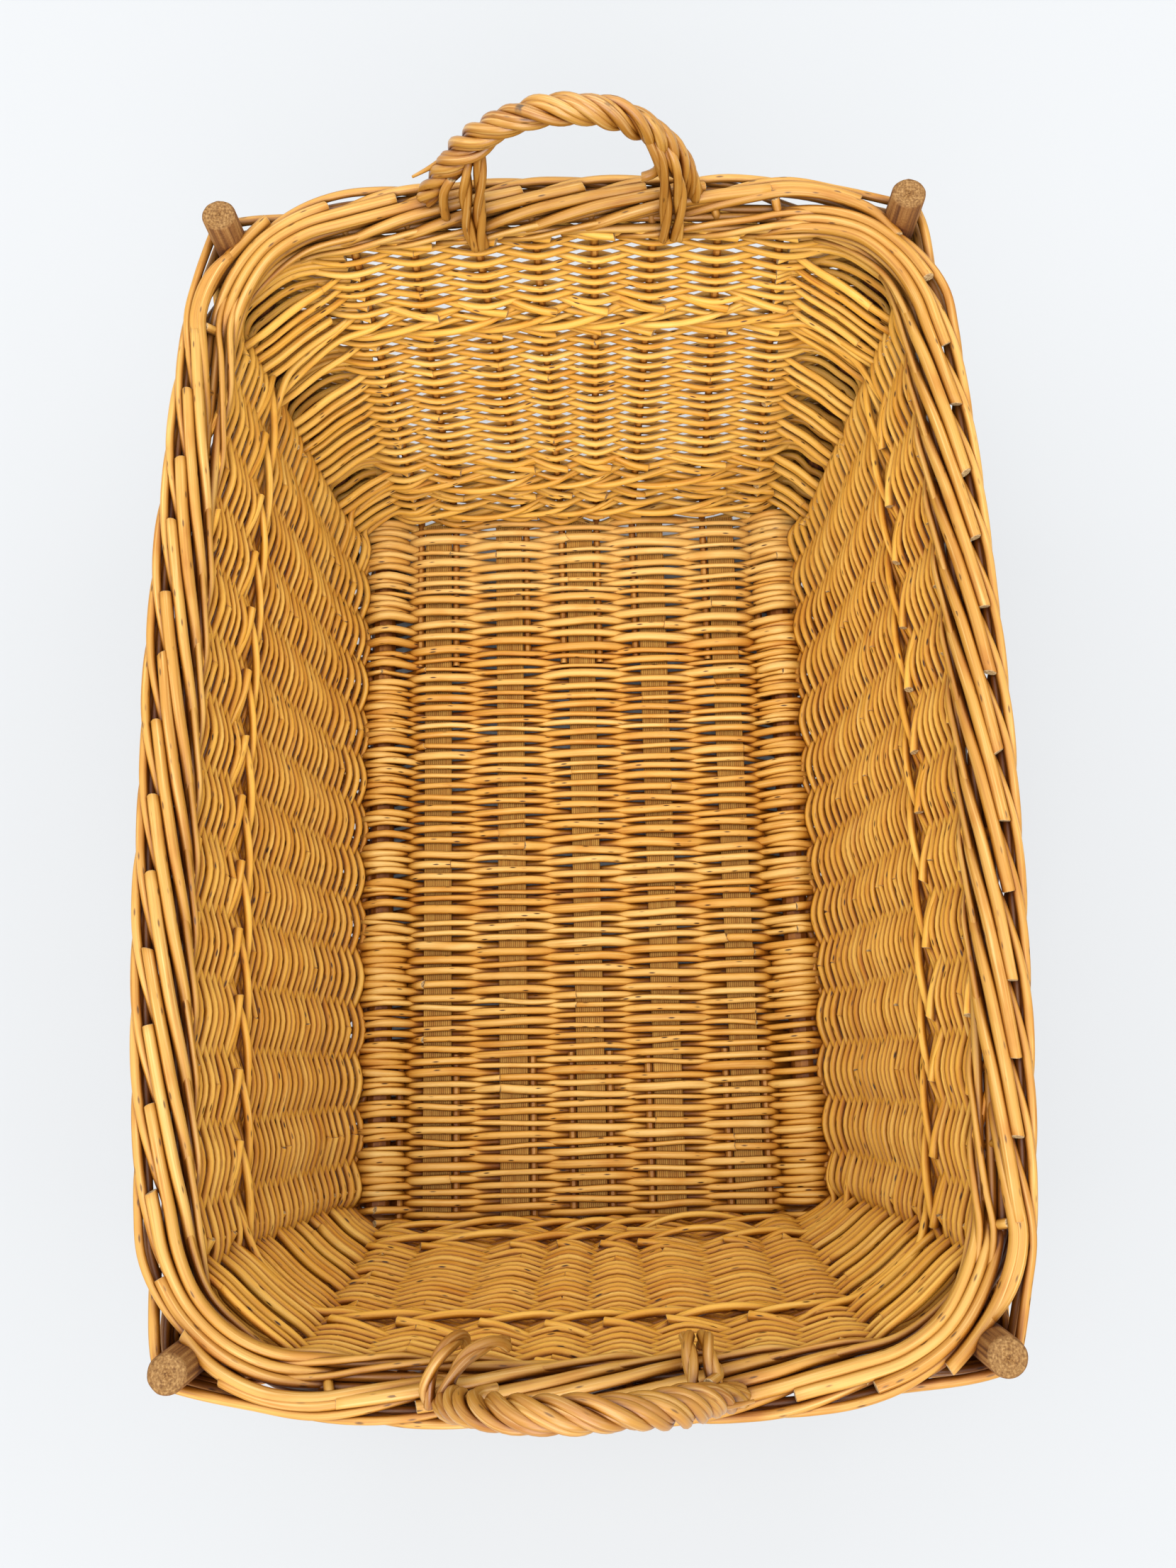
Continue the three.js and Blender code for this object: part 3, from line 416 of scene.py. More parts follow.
def willow(name, shades, gloss, specks=1.0, shine=PLAIN_SHINE, scuffs_from=None, far_shade_share=FAR_WALL_SHADE_SHARE):
    """Peeled willow: a shade for each rod, long streaks, dark specks and pale cut ends, with
    painted shade in gaps and painted light on open places. Black scuffs lie above the
    height scuffs_from, at the far end. far_shade_share is how much of the painted shade in gaps
    is left at the far wall."""
    s = Shader(name)
    grain = s.attribute("grain", "Vector")
    tone = s.attribute("tone", "Fac")
    streaks = s.noise(s.scaled(grain, STREAKS), 3)
    patches = s.noise(s.scaled(grain, PATCHES), 2)
    colour = s.ramp(tone, [(i / (len(shades) - 1), srgb(*shade)) for i, shade in enumerate(shades)])
    colour = s.times(colour, PATCH_TINT, s.step(patches, *PATCH_RANGE))
    colour = s.times(colour, DARK_STREAK_TINT, s.step(streaks, *DARK_STREAK_RANGE))
    colour = s.mix(s.step(streaks, *PALE_STREAK_RANGE), colour, PALE_STREAK)
    cells = s.node("ShaderNodeTexVoronoi", {"Vector": s.scaled(grain, SPECKS), "Scale": 1.0})
    near = s.step(cells.outputs["Distance"], *SPECK_RANGE)
    dice = s.node("ShaderNodeSeparateColor", {0: cells.outputs["Color"]}).outputs[0]
    chosen = s.step(dice, *SPECK_CHOICE)
    speck = s.math("MULTIPLY", s.math("MULTIPLY", near, chosen), specks)
    colour = s.mix(speck, colour, SPECK_BROWN)
    place = s.node("ShaderNodeTexCoord").outputs["Object"]
    _, depth, height = s.parts(place)
    if scuffs_from is not None:
        blots = s.step(s.noise(s.scaled(place, SCUFFS), 3), *SCUFF_RANGE)
        high = s.step(height, scuffs_from, scuffs_from + SCUFF_FADE)
        high = s.math("MULTIPLY", high, s.step(depth, *SCUFF_SIDE))
        colour = s.mix(s.math("MULTIPLY", blots, high), colour, SCUFF_BLACK)
    # Painted shade, darker and browner in gaps, and painted light on open places; less at the far wall
    colour = s.paint_crevice_shade(colour, s.step(depth, *FAR_WALL_Y, 1.0, far_shade_share))
    ends = s.ramp(s.noise(s.scaled(grain, CUT_GRAIN), 3), CUT_SHADES)
    cut = s.step(s.attribute("cut", "Fac"), *CUT_RANGE)
    colour = s.mix(cut, colour, ends)
    streaked = s.math("MULTIPLY", streaks, STREAK_RELIEF)
    relief = s.math("SUBTRACT", streaked, s.math("MULTIPLY", speck, SPECK_RELIEF))
    roughness = s.step(patches, *GLOSS_PATCHES, gloss + GLOSS_SPREAD[0], gloss + GLOSS_SPREAD[1])
    return s.done(colour, roughness, relief, WILLOW_BUMP, shine=shine)


GOLD = [
    (240, 180, 74), (246, 190, 86), (234, 172, 66), (242, 184, 80),
    (230, 166, 60), (241, 182, 76), (249, 197, 96),
]
PALE = [(246, 192, 102), (236, 176, 82), (252, 206, 124), (242, 186, 94), (228, 164, 70), (250, 200, 114)]
HONEY = [(200, 149, 66), (192, 139, 56), (208, 160, 80), (186, 131, 48), (197, 146, 63)]
AMBER = [(180, 127, 52), (192, 141, 62), (168, 114, 44), (184, 132, 55)]
weave_willow = willow("weave_willow", GOLD, 0.44)
mat_willow = willow("mat_willow", PALE, 0.44)
border_willow = willow("border_willow", HONEY, 0.40, specks=0.8, shine=0.3, far_shade_share=0.8)
handle_willow = willow(
    "handle_willow", AMBER, 0.30, specks=0.7, shine=0.4, scuffs_from=0.427, far_shade_share=1.0,
)

WOOD_SHADES_AT = (0.3, 0.7)
GROOVE_RUN = (1, 0.02, 0)
GROOVE_WANDER = 1.2
GROOVE_RANGE = (0.12, 0.5)
GROOVE_TINT = (0.56, 0.44, 0.30)
FIBRE_RELIEF = 0.3
FLAT_WOOD_BUMP = 0.5


def flat_wood(name, shades, grain, gloss, grooves=0.0, crevice_shade_share=1.0):
    """Wood of a CAD node, grained along Y, with grooves as fine as that number says, and as much painted
    shade where neighbours stand close as browning says.
    """
    s = Shader(name)
    place = s.node("ShaderNodeTexCoord").outputs["Object"]
    fibres = s.noise(s.scaled(place, grain), 4)
    colour = s.ramp(fibres, [(at, srgb(*shade)) for at, shade in zip(WOOD_SHADES_AT, shades)])
    relief = fibres
    if grooves:
        run = s.scaled(place, GROOVE_RUN)
        inputs = {"Vector": run, "Scale": grooves, "Distortion": GROOVE_WANDER, "Detail": 1.0}
        lines = s.step(s.node("ShaderNodeTexWave", inputs).outputs["Fac"], *GROOVE_RANGE)
        colour = s.mix(lines, s.times(colour, GROOVE_TINT), colour)
        relief = s.math("ADD", s.math("MULTIPLY", fibres, FIBRE_RELIEF), lines)
    # Painted shade where neighbours stand close, and a little painted light where nothing does
    return s.done(s.paint_crevice_shade(colour, crevice_shade_share), gloss, relief, FLAT_WOOD_BUMP)


# Each wood gets painted shade where neighbours stand close; the slats only 0.6 of it
NODE_WOODS = {
    "base_slat": flat_wood("slat_wood", [(218, 154, 62), (252, 202, 104)], (420, 9, 420), 0.7, 200, 0.6),
    "base_edge_stick": flat_wood("stick_wood", [(176, 116, 54), (226, 168, 92)], (300, 14, 300), 0.5),
    "stake": flat_wood("stake_wood", [(190, 132, 66), (236, 184, 108)], (300, 30, 300), 0.5),
}

for node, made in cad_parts.items():
    for start, material in NODE_WOODS.items():
        if node.startswith(start):
            made.data.materials.clear()
            made.data.materials.append(material)


# Corner posts

POST_FIBRES = (18, 500, 500)
POST_SIDE_SHADES = [(0.3, srgb(88, 50, 20)), (0.5, srgb(132, 86, 40)), (0.75, srgb(168, 124, 70))]
POST_END_SHADES = [(0.30, srgb(106, 70, 34)), (0.5, srgb(142, 104, 58)), (0.7, srgb(172, 134, 84))]
POST_END_ROUGH = (600, 600, 600)
# Growth rings are a sine of the distance from the middle, times this
RING_RATE = 4200
RING_WANDER = (200, 200, 200)
RING_WANDER_SHARE = 7
RING_TINT = (0.78, 0.68, 0.56)
RING_RANGE = (0.2, 1.0, 0.0, 0.7)
POST_GLOSS = 0.75
POST_END_RELIEF = 1.5
POST_BUMP = 0.7
POST_BUMP_DEPTH = 0.0008


def post_wood():
    """Weathered sides, and a rough pale end with growth rings, with painted shade where neighbours stand
    close.
    """
    s = Shader("post_wood")
    grain = s.attribute("grain", "Vector")
    fibres = s.noise(s.scaled(grain, POST_FIBRES), 4)
    side = s.ramp(fibres, POST_SIDE_SHADES)
    across = s.scaled(grain, (0, 1, 1))
    distance = s.node("ShaderNodeVectorMath", {0: across}, operation="LENGTH").outputs["Value"]
    wander = s.math("MULTIPLY", s.noise(s.scaled(across, RING_WANDER), 2), RING_WANDER_SHARE)
    rings = s.math("SINE", s.math("ADD", s.math("MULTIPLY", distance, RING_RATE), wander))
    rough = s.noise(s.scaled(grain, POST_END_ROUGH), 4)
    end = s.times(s.ramp(rough, POST_END_SHADES), RING_TINT, s.step(rings, *RING_RANGE))
    # Painted shade where neighbours stand close, and a little painted light where nothing does
    colour = s.paint_crevice_shade(s.mix(s.attribute("cut", "Fac"), side, end))
    relief = s.math("ADD", fibres, s.math("MULTIPLY", rough, POST_END_RELIEF))
    return s.done(colour, POST_GLOSS, relief, POST_BUMP, POST_BUMP_DEPTH)


POST_CHAMFER = 0.0016
POST_SIDES = 40
POST_FOOT_Z = 0.0002
POST_LEVELS = 12
# Rings of the post's top, as shares of its radius
POST_END_SHARES = (0.9, 0.72, 0.5, 0.25, 0.06)
POST_KNOTS = 0.012
POST_END_DIPS = 0.25 * MM


def corner_posts():
    """Four round dowels, a little uneven, with chamfered rough tops."""
    posts = Rods("corner_posts", POST_SIDES)
    turn = np.arange(POST_SIDES) / POST_SIDES * 2 * np.pi
    for hand_x, hand_y in ((1, 1), (-1, 1), (-1, -1), (1, -1)):
        heights = np.linspace(POST_FOOT_Z, POST_TOP_Z - POST_CHAMFER, POST_LEVELS)
        courses = [(z, POST_RADIUS, 0) for z in heights]
        courses += [(POST_TOP_Z, POST_RADIUS * share, 1) for share in POST_END_SHARES]
        ring, grain, cut = [], [], []
        knots = RNG.normal(0, POST_KNOTS, POST_SIDES)
        knots = (knots + np.roll(knots, 1) + np.roll(knots, -1)) / 3
        for z, radius, top in courses:
            px, py = post_place(z)
            reach = radius * (1 + knots)
            c, s = np.cos(turn) * reach, np.sin(turn) * reach
            dip = -np.abs(RNG.normal(0, POST_END_DIPS, POST_SIDES)) * top
            ring.append(np.stack([hand_x * px + c, hand_y * py + s, z + dip], 1))
            grain.append(np.stack([np.full(POST_SIDES, z), c, s], 1) + [hand_x + 2 * hand_y, 0, 0])
            cut.append(np.full(POST_SIDES, top))
        posts.join(np.array(ring), np.array(grain), np.array(cut, float))
    corners = [f"corner_post_{end}_{side}" for end in ("far", "near") for side in ("left", "right")]
    posts.build(post_wood(), "post_wood", *corners)


corner_posts()


# Weaving round the wall

ROW_STEP = 0.0052
ROW_SIZES = (0.88, 0.95, 1.0, 1.0, 1.04, 1.08)
# How much further in the rods lie at the floor, and up to which height
FOOT_LEAN = 0.0165
FOOT_LEAN_TOP_Z = 0.085
FOOT_LEAN_POWER = 1.6
# The share of it at the end walls, and outside the stakes
END_LEAN_SHARE = 0.2
OUTER_LEAN = 0.15
# A rod's places outside a post: stations past it, and turns within its outer quarter
OUTSIDE_SHIFTS = (-0.2, 0, 0.2)
OUTSIDE_TURNS = (0.08, 0.5, 0.92)
# A rod's places across a corner, as shares of the way, and how they lie inside the post
INSIDE_SHARES = (0.28, 0.5, 0.72)
INSIDE_REACH = 0.4
CORNER_BULGE = 0.0056


def around(post, reach, turns):
    """Places round a post, by turns from 0 to 1 within its outer quarter."""
    angles = (quarter(post) + np.array(turns)) * math.pi / 2
    return post + reach * np.stack([np.cos(angles), np.sin(angles)], 1)


def corner_track(points, k, offset, radius, side_out):
    """Places of a rod outside the post at station k, or across the corner inside it. Each comes
    with how many stations past the post it lies."""
    before, post, after = points[k - 1], points[k], points[(k + 1) % STATION_COUNT]
    if side_out:
        return list(zip(OUTSIDE_SHIFTS, around(post, POST_RADIUS + radius, OUTSIDE_TURNS)))
    square = corner_square(before, after)
    made = []
    for share in INSIDE_SHARES:
        bulge = CORNER_BULGE * (1 - (2 * share - 1) ** 2)
        made.append((share * 2 - 1, blend(before, after, share) + square * (bulge + offset)))
    return made


def foot_lean(k, z):
    """How much further in the rods lie near the floor, most at the side walls."""
    share = max(0.0, (FOOT_LEAN_TOP_Z - z) / FOOT_LEAN_TOP_Z)
    return FOOT_LEAN * share**FOOT_LEAN_POWER * (1 if k % HALF_ROUND < SIDE_STAKES else END_LEAN_SHARE)


def woven(stops, z_at, reach, radius):
    """Control points of a rod that passes the given (station, side) stops in turn."""
    made = []
    for i, (u, side) in enumerate(stops):
        z = z_at(u)
        points, out, _ = stations(z)
        k = u % STATION_COUNT
        after = (k + 1) % STATION_COUNT
        if IS_POST[k]:
            for shift, plan in corner_track(points, k, reach * INSIDE_REACH, radius, side > 0):
                made.append(lift(plan, z_at(u + shift)))
            continue
        lean = foot_lean(k, z)
        made.append(lift(points[k] + out[k] * (reach * side - lean * (1 if side < 0 else OUTER_LEAN)), z))
        if i + 1 < len(stops) and not IS_POST[after] and side != stops[i + 1][1]:
            half = (points[k] + points[after]) / 2
            made.append(lift(half - out[k] * lean, z_at(u + 0.5)))
    return np.array(made)


PACKING_REACH = 0.5


def packing(rods, k, z, radius):
    """A short rod wrapped outside the post at station k, in a row whose own rod passes inside."""
    track = [(k - 1, -1), (k, 1), (k + 1, -1)]
    control = woven(track, lambda u: z, STAKE_RADIUS + radius * PACKING_REACH, radius)
    rods.add(spline(control, ROW_STEP), radius, reference=UP)


HUGGING_SHARES = (0.10, 0.62)
HUGGING_JITTER = 0.8 * MM
HUGGING_GIRTH = 1.1


def hugging(rods, k, z, radius):
    """A short rod round the inner face of the post at station k, behind the rods of the corner."""
    points, _, _ = stations(z)
    before, post, after = points[k - 1], points[k], points[(k + 1) % STATION_COUNT]
    plans = [blend(before, post, share) for share in HUGGING_SHARES]
    plans.append(post - corner_square(before, after) * (POST_RADIUS + radius))
    plans += [blend(after, post, share) for share in HUGGING_SHARES[::-1]]
    lifts = RNG.normal(0, HUGGING_JITTER, len(plans))
    control = [lift(plan, z + up) for plan, up in zip(plans, lifts)]
    rods.add(spline(control, ROW_STEP), radius * HUGGING_GIRTH, reference=UP)


# One in so many pairs of rows passes outside a post, a pair sooner after so many stations
OUTSIDE_PAIRS = 4
PAIR_SHIFT = 9


def side_of(v, row):
    """Outside or inside stake v in a row of randing. Some rows that should pass inside a post
    pass outside it."""
    pair = (row // 2 + v // PAIR_SHIFT) % OUTSIDE_PAIRS
    if IS_POST[v % STATION_COUNT] and pair == OUTSIDE_PAIRS - 1:
        return 1
    return 1 if (v + row) % 2 else -1


CORNER_THICKENING = 0.2
CORNER_SPREAD = 0.045


def corner_girth(path, z):
    """How much thicker a rod is near the posts."""
    posts = stations(z)[0][IS_POST]
    gap = np.min(np.linalg.norm(path[:, None, :2] - posts[None], axis=2), axis=1)
    return 1 + CORNER_THICKENING * np.exp(-((gap / CORNER_SPREAD) ** 4))


ROW_WANDER = 0.35 * MM
ROW_REACH = 0.8
ROW_TAPER = (1.08, 0.92)
ROW_GIRTHS = (0.95, 1.05)
# How many stations a rod runs, and the fewest that may be left for a row's last rod
RUNS = (7, 17)
SHORTEST_RUN = 5


def siding(rods, z, radius, row):
    """One row of randing: rods in front of one stake and behind the next, round the basket."""
    start = int(RNG.integers(STATION_COUNT))
    end = start + STATION_COUNT
    wander = RNG.normal(0, ROW_WANDER, STATION_COUNT)
    wander = (wander + np.roll(wander, 1) + np.roll(wander, -1)) / 2

    def z_at(u):
        k = int(math.floor(u))
        return z + blend(wander[k % STATION_COUNT], wander[(k + 1) % STATION_COUNT], u - k)

    u = start
    while u < end:
        length = int(RNG.integers(*RUNS))
        if end - u - length < SHORTEST_RUN:
            length = end - u
        stops = [(v, side_of(v, row)) for v in range(u, u + length + 1)]
        control = woven(stops, z_at, STAKE_RADIUS + radius * ROW_REACH, radius)
        path = spline(control, ROW_STEP)
        taper = np.linspace(*ROW_TAPER, len(path)) * RNG.uniform(*ROW_GIRTHS)
        rods.add(path, radius * taper * corner_girth(path, z), reference=UP)
        for v, side in stops[:-1]:
            if IS_POST[v % STATION_COUNT]:
                extra = packing if side < 0 else hugging
                extra(rods, v % STATION_COUNT, z, radius)
        u += length


ALL_WALLS = range(STATION_COUNT)
END_WALLS = [k for k in ALL_WALLS if k % HALF_ROUND > SIDE_STAKES]
WALE_JITTER = 0.4 * MM
WALE_TAPER = (0.9, 1.08)
WALE_GIRTHS = (0.92, 1.08)


def add_tapered(rods, control, radius):
    """One rod of a wale, or one of its ends."""
    path = spline(control, ROW_STEP)
    rods.add(path, radius * np.linspace(*WALE_TAPER, len(path)) * RNG.uniform(*WALE_GIRTHS), reference=UP)


def wale(rods, z_middle, rise, radius, reach, where=ALL_WALLS):
    """A wale: every rod lies over two stakes inside, falling as it goes, and behind the next."""
    for k in where:
        stops = [(k - 1, 1), (k, -1), (k + 1, -1), (k + 2, 1)]
        lean = RNG.normal(0, WALE_JITTER)

        def z_at(u, k=k, lean=lean):
            return z_middle + rise * (k + 0.5 - u) + lean

        add_tapered(rods, woven(stops, z_at, STAKE_RADIUS + radius * reach, radius), radius)


ENDS_JITTER = 0.7 * MM
# An end between two stakes: shares of the way to the next, and of the drop
ENDS_HALFWAY = (0.45, 0.6)
# An end inside the next stake: shares of the reach, and of the drop
ENDS_BEHIND = (0.95, 0.15)
# An end's tip: share of the reach, and how much its place varies
ENDS_TIP = (1.1, 0.04)


def ends(rods, z, drop, radius, shift, where=ALL_WALLS):
    """Cut ends that come in between two stakes and stop inside the next, one to a stake."""
    for k in where:
        after = (k + 1) % STATION_COUNT
        if IS_POST[k] or IS_POST[after]:
            continue
        z0 = z + RNG.normal(0, ENDS_JITTER)
        high, out_high, _ = stations(z0 + drop)
        low, out_low, _ = stations(z0)
        a, b = high[after], low[k]
        reach = STAKE_RADIUS + radius
        step = b - a
        past = step * (shift + RNG.normal(0, ENDS_TIP[1]))
        control = [
            lift(a + out_high[k] * reach, z0 + drop),
            lift(a + step * ENDS_HALFWAY[0], z0 + drop * ENDS_HALFWAY[1]),
            lift(b - out_low[k] * reach * ENDS_BEHIND[0], z0 + drop * ENDS_BEHIND[1]),
            lift(b + past - out_low[k] * reach * ENDS_TIP[0], z0),
        ]
        add_tapered(rods, control, radius)


def rows(name, z_low, z_high, r_low, r_high, squeeze):
    """Rows of siding from one height to another, set as close as their rods allow. The rods'
    radii at the two heights are in millimetres."""
    rods = Rods(name, sides=7)
    z = z_low
    row = 0
    while z < z_high:
        share = (z - z_low) / (z_high - z_low)
        radius = blend(r_low * MM, r_high * MM, share) * RNG.choice(ROW_SIZES)
        siding(rods, z, radius, row)
        z += radius * 2 * squeeze
        row += 1
    return rods


foot = Rods("foot_wales", sides=8)
ends(foot, 0.0250, -0.004, 2.5 * MM, 0.2, END_WALLS)
wale(foot, 0.0350, 0.0062, 2.7 * MM, 1.2, END_WALLS)
ends(foot, 0.0520, 0.007, 2.7 * MM, 0.3, END_WALLS)
wale(foot, 0.0680, 0.0066, 2.8 * MM, 1.25, END_WALLS)
ends(foot, 0.0850, 0.008, 2.8 * MM, 0.3, END_WALLS)

stretches = [
    rows("foot_rows", 0.0148, 0.0880, 2.9, 2.65, 0.95),
    rows("lower_siding", 0.0900, 0.1590, 2.65, 2.4, 1.02),
    rows("higher_siding", 0.1600, 0.2260, 2.4, 2.15, 1.02),
    rows("middle_rows", 0.2275, 0.2540, 2.2, 2.2, 1.0),
]

middle = Rods("middle_wale", sides=8)
ends(middle, 0.2290, 0.003, 2.6 * MM, 0.15, END_WALLS)
wale(middle, 0.2400, 0.0086, 2.75 * MM, 1.15)
ends(middle, 0.2505, 0.009, 2.9 * MM, 0.25)
upper = rows("upper_siding", 0.2560, 0.3120, 2.45, 2.4, 0.98)
ends(upper, 0.3150, 0.006, 2.9 * MM, 0.3)

for rods in (foot, *stretches, middle, upper):
    rods.build(weave_willow, "woven_willow", "side_weave")


# Base mat

MAT_RADIUS = 3.0 * MM
MAT_SIZES = (0.68, 0.8, 0.9, 1.0, 1.08, 1.15, 1.28)
MAT_SQUEEZE = 0.765
MAT_JITTER = 0.45 * MM
MAT_STEP = 0.0055
MAT_TAPER = (1.06, 0.9)
MAT_END_ROWS = 0.0092
# How many control points a rod runs, and the fewest that may be left for the last
MAT_RUNS = (13, 30)
MAT_SHORTEST_RUN = 6
# A rod over a slat: its lift, how much of its extra girth adds to it, and how far it stays up
OVER_SLAT = 4.7 * MM
GIRTH_LIFT = 0.6
SLAT_HALF_COVER = 0.010
# A rod's turn round an edge stick: distance out from the stick's middle, and lift
MAT_TURN = (0.0180, 0.0040)
# A filler's course over an edge stick: distance out from the stick's middle, and height
FILLER = [(0.0195, 0.0220), (0.0100, 0.0265), (0.0, 0.0276), (-0.0095, 0.0240), (-0.0185, 0.0150)]
FILLER_SHARE = 0.62
FILLER_LEAN = 0.8 * MM
FILLER_REACH = 0.02
FILLER_STEP = 0.004
FILLER_GIRTHS = (0.85, 1.05)


def filler(rods, stick_x, y, radius):
    """A short rod over an edge stick, in a row whose own rod passes below it."""
    hand = math.copysign(1, stick_x)
    lean = RNG.normal(0, FILLER_LEAN)
    path = [[stick_x + hand * x, y + lean * x / FILLER_REACH, z] for x, z in FILLER]
    rods.add(spline(path, FILLER_STEP), radius * RNG.uniform(*FILLER_GIRTHS))


def base_mat():
    """Rows of rods over one slat and under the next, turned round the edge sticks."""
    rods = Rods("base_weave_rods", sides=8)
    slats = [(i - SLAT_COUNT // 2) * SLAT_PITCH for i in range(SLAT_COUNT)]
    members = list(enumerate([-EDGE_STICK_X, *slats, EDGE_STICK_X]))
    control, radii = [], []
    y = -MAT_HALF_LENGTH + MAT_RADIUS - MAT_END_ROWS
    row = 0
    radius = MAT_RADIUS
    while y < MAT_HALF_LENGTH - MAT_RADIUS + MAT_END_ROWS:
        way = -1 if row % 2 else 1
        after = MAT_RADIUS * RNG.choice(MAT_SIZES)
        step = MAT_SQUEEZE * (radius + after)
        for i, x in members[::way]:
            side = -1 if (i + row) % 2 else 1
            if abs(x) == EDGE_STICK_X:
                control.append([x, y, MAT_MIDDLE_Z + side * (EDGE_STICK_RADIUS + radius)])
                radii.append(radius)
                if side < 0 and RNG.random() < FILLER_SHARE:
                    filler(rods, x, y, radius)
                continue
            z = MAT_MIDDLE_Z + side * (OVER_SLAT + (radius - MAT_RADIUS) * GIRTH_LIFT)
            for shift in (-way * SLAT_HALF_COVER, way * SLAT_HALF_COVER):
                control.append([x + shift, y + RNG.normal(0, MAT_JITTER), z])
                radii.append(radius)
        control.append([way * (EDGE_STICK_X + MAT_TURN[0]), y + step / 2, MAT_MIDDLE_Z + MAT_TURN[1]])
        radii.append(radius)
        y += step
        radius = after
        row += 1
    start = 0
    while start < len(control) - MAT_SHORTEST_RUN:
        stop = min(start + int(RNG.integers(*MAT_RUNS)), len(control) - 1)
        path = spline(control[start:stop + 1], MAT_STEP)
        spans = np.linspace(0, 1, stop - start + 1)
        radius = np.interp(np.linspace(0, 1, len(path)), spans, radii[start:stop + 1])
        rods.add(path, radius * np.linspace(*MAT_TAPER, len(path)))
        start = stop
    rods.build(mat_willow, "woven_willow", "base_weave")


base_mat()


# Border

BORDER_STEP = 0.5
BORDER_OUTSET = 0.003
OUTSET_FROM_Y = (-0.38, -0.33)
# A rod this far out at a post goes round it, by these turns of its outer quarter
OUTSIDE_POST = 0.0095
WRAP_TURNS = (0.02, 0.34, 0.66, 0.98)
POST_CLEARANCE = 0.0004
# How far a rod at SWING_OFFSET swings out at a corner, and how much less for each metre further
CORNER_SWING = (0.022, 0.2)
SWING_OFFSET = -0.010
AT_POST = 0.01
TINY = 1e-9


def off_post(plan, post, reach):
    """A place in plan, moved out as far as reach if it is nearer to the post."""
    gap = plan - post
    distance = np.linalg.norm(gap)
    return plan if distance > reach else post + gap * (reach / distance)


def outset(place):
    """How much further out the border lies; nothing at the near end."""
    return BORDER_OUTSET * np.interp(place[1], OUTSET_FROM_Y, [0, 1])


def border_track(marks, radius, stays_inside=False):
    """Control points of a border rod from (u, offset, z) marks, taken every half station. A rod
    that is far enough out at a post runs straight to it and round its outside."""
    us, offsets, heights = np.array(marks, float).T
    steps = np.arange(math.ceil(us[0] / BORDER_STEP) * BORDER_STEP, us[-1] + TINY, BORDER_STEP)
    control = []
    for u in sorted({round(float(u), 4) for u in (us[0], *steps, us[-1])}):
        z = np.interp(u, us, heights)
        points, out, _ = stations(z)
        offset = np.interp(u, us, offsets) + outset(points[int(u) % STATION_COUNT])
        k = int(math.floor(u + TINY))
        share = u - k
        a, b = k % STATION_COUNT, (k + 1) % STATION_COUNT
        if not (IS_POST[a] or IS_POST[b]):
            plan = blend(points[a], points[b], share)
            control.append(lift(plan + blend(out[a], out[b], share) * offset, z))
            continue
        post = a if IS_POST[a] else b
        before, after = post - 1, (post + 1) % STATION_COUNT
        centre = points[post]
        reach = POST_RADIUS + radius + POST_CLEARANCE
        # The share of the way from the stake before the post to the one after it
        t = share / 2 + (0.5 if IS_POST[a] else 0.0)
        if not stays_inside and np.interp(k + (0 if IS_POST[a] else 1), us, offsets) > OUTSIDE_POST:
            wrap = around(centre, reach, WRAP_TURNS)
            if abs(t - 0.5) <= AT_POST:
                control += [lift(plan, z) for plan in wrap]
                continue
            near, touch = (before, wrap[0]) if t < 0.5 else (after, wrap[-1])
            stake = points[near] + out[near] * offset
            control.append(lift(blend(stake, touch, 2 * min(t, 1 - t)), z))
            continue
        square = corner_square(points[before], points[after])
        way = out[before] * (1 - t) + out[after] * t
        swing = CORNER_SWING[0] - CORNER_SWING[1] * (offset - SWING_OFFSET)
        plan = blend(points[before], points[after], t) + way / np.linalg.norm(way) * offset
        control.append(lift(off_post(plan + square * swing * 4 * t * (1 - t), centre, reach), z))
    return np.array(control)


# Where the cut rods start, in stations past their own, and how far out
STAKE_BUTT = [(0.22, 0.0083)]
POST_BUTTS = [(-0.22, 0.0155), (0.2, 0.0155)]
BUTT_JITTER = 0.05
MARK_JITTER = 0.5 * MM
# How much further in a cut rod lies at each station, and how much lower at a post
CUT_ROD_SLOPE = 0.0068
CUT_ROD_FALL = 0.0012
CUT_ROD_RADII = (3.7, 4.15)
CUT_ROD_GIRTHS = ([0, 0.6, 0.8, 1], [1.0, 0.92, 0.85, 0.6])
OUTER_ROD_RADII = (2.8, 3.3)
OUTER_ROD_TAPER = (1.08, 0.62)
BORDER_ROD_STEP = 0.005
# An outer rod's marks: stations past its stake's cut rod, how far out, and height
OUTER_MARKS = np.array([
    (-3.0, 0.0060, 0.3135),
    (-2.3, 0.0120, 0.3180),
    (-1.6, 0.0165, 0.3265),
    (-1.0, 0.0182, 0.3320),
    (0.0, 0.0150, 0.3350),
    (0.6, 0.0095, 0.3330),
    (1.2, 0.0030, 0.3280),
    (2.2, -0.0050, 0.3255),
    (3.0, -0.0105, 0.3250),
    (3.8, -0.0115, 0.3180),
    (4.4, -0.0040, 0.3100),
])
STAKE_TOP_RADIUS = 3.0 * MM
STAKE_TOP_STEP = 0.004
CORE_RADIUS = 3.1 * MM
CORE_STEP = 0.006
# How far out the core's rods lie, and how high
CORE_COURSES = [(-0.0070, 0.3190), (-0.0010, 0.3215), (0.0050, 0.3220), (0.0142, 0.3265)]


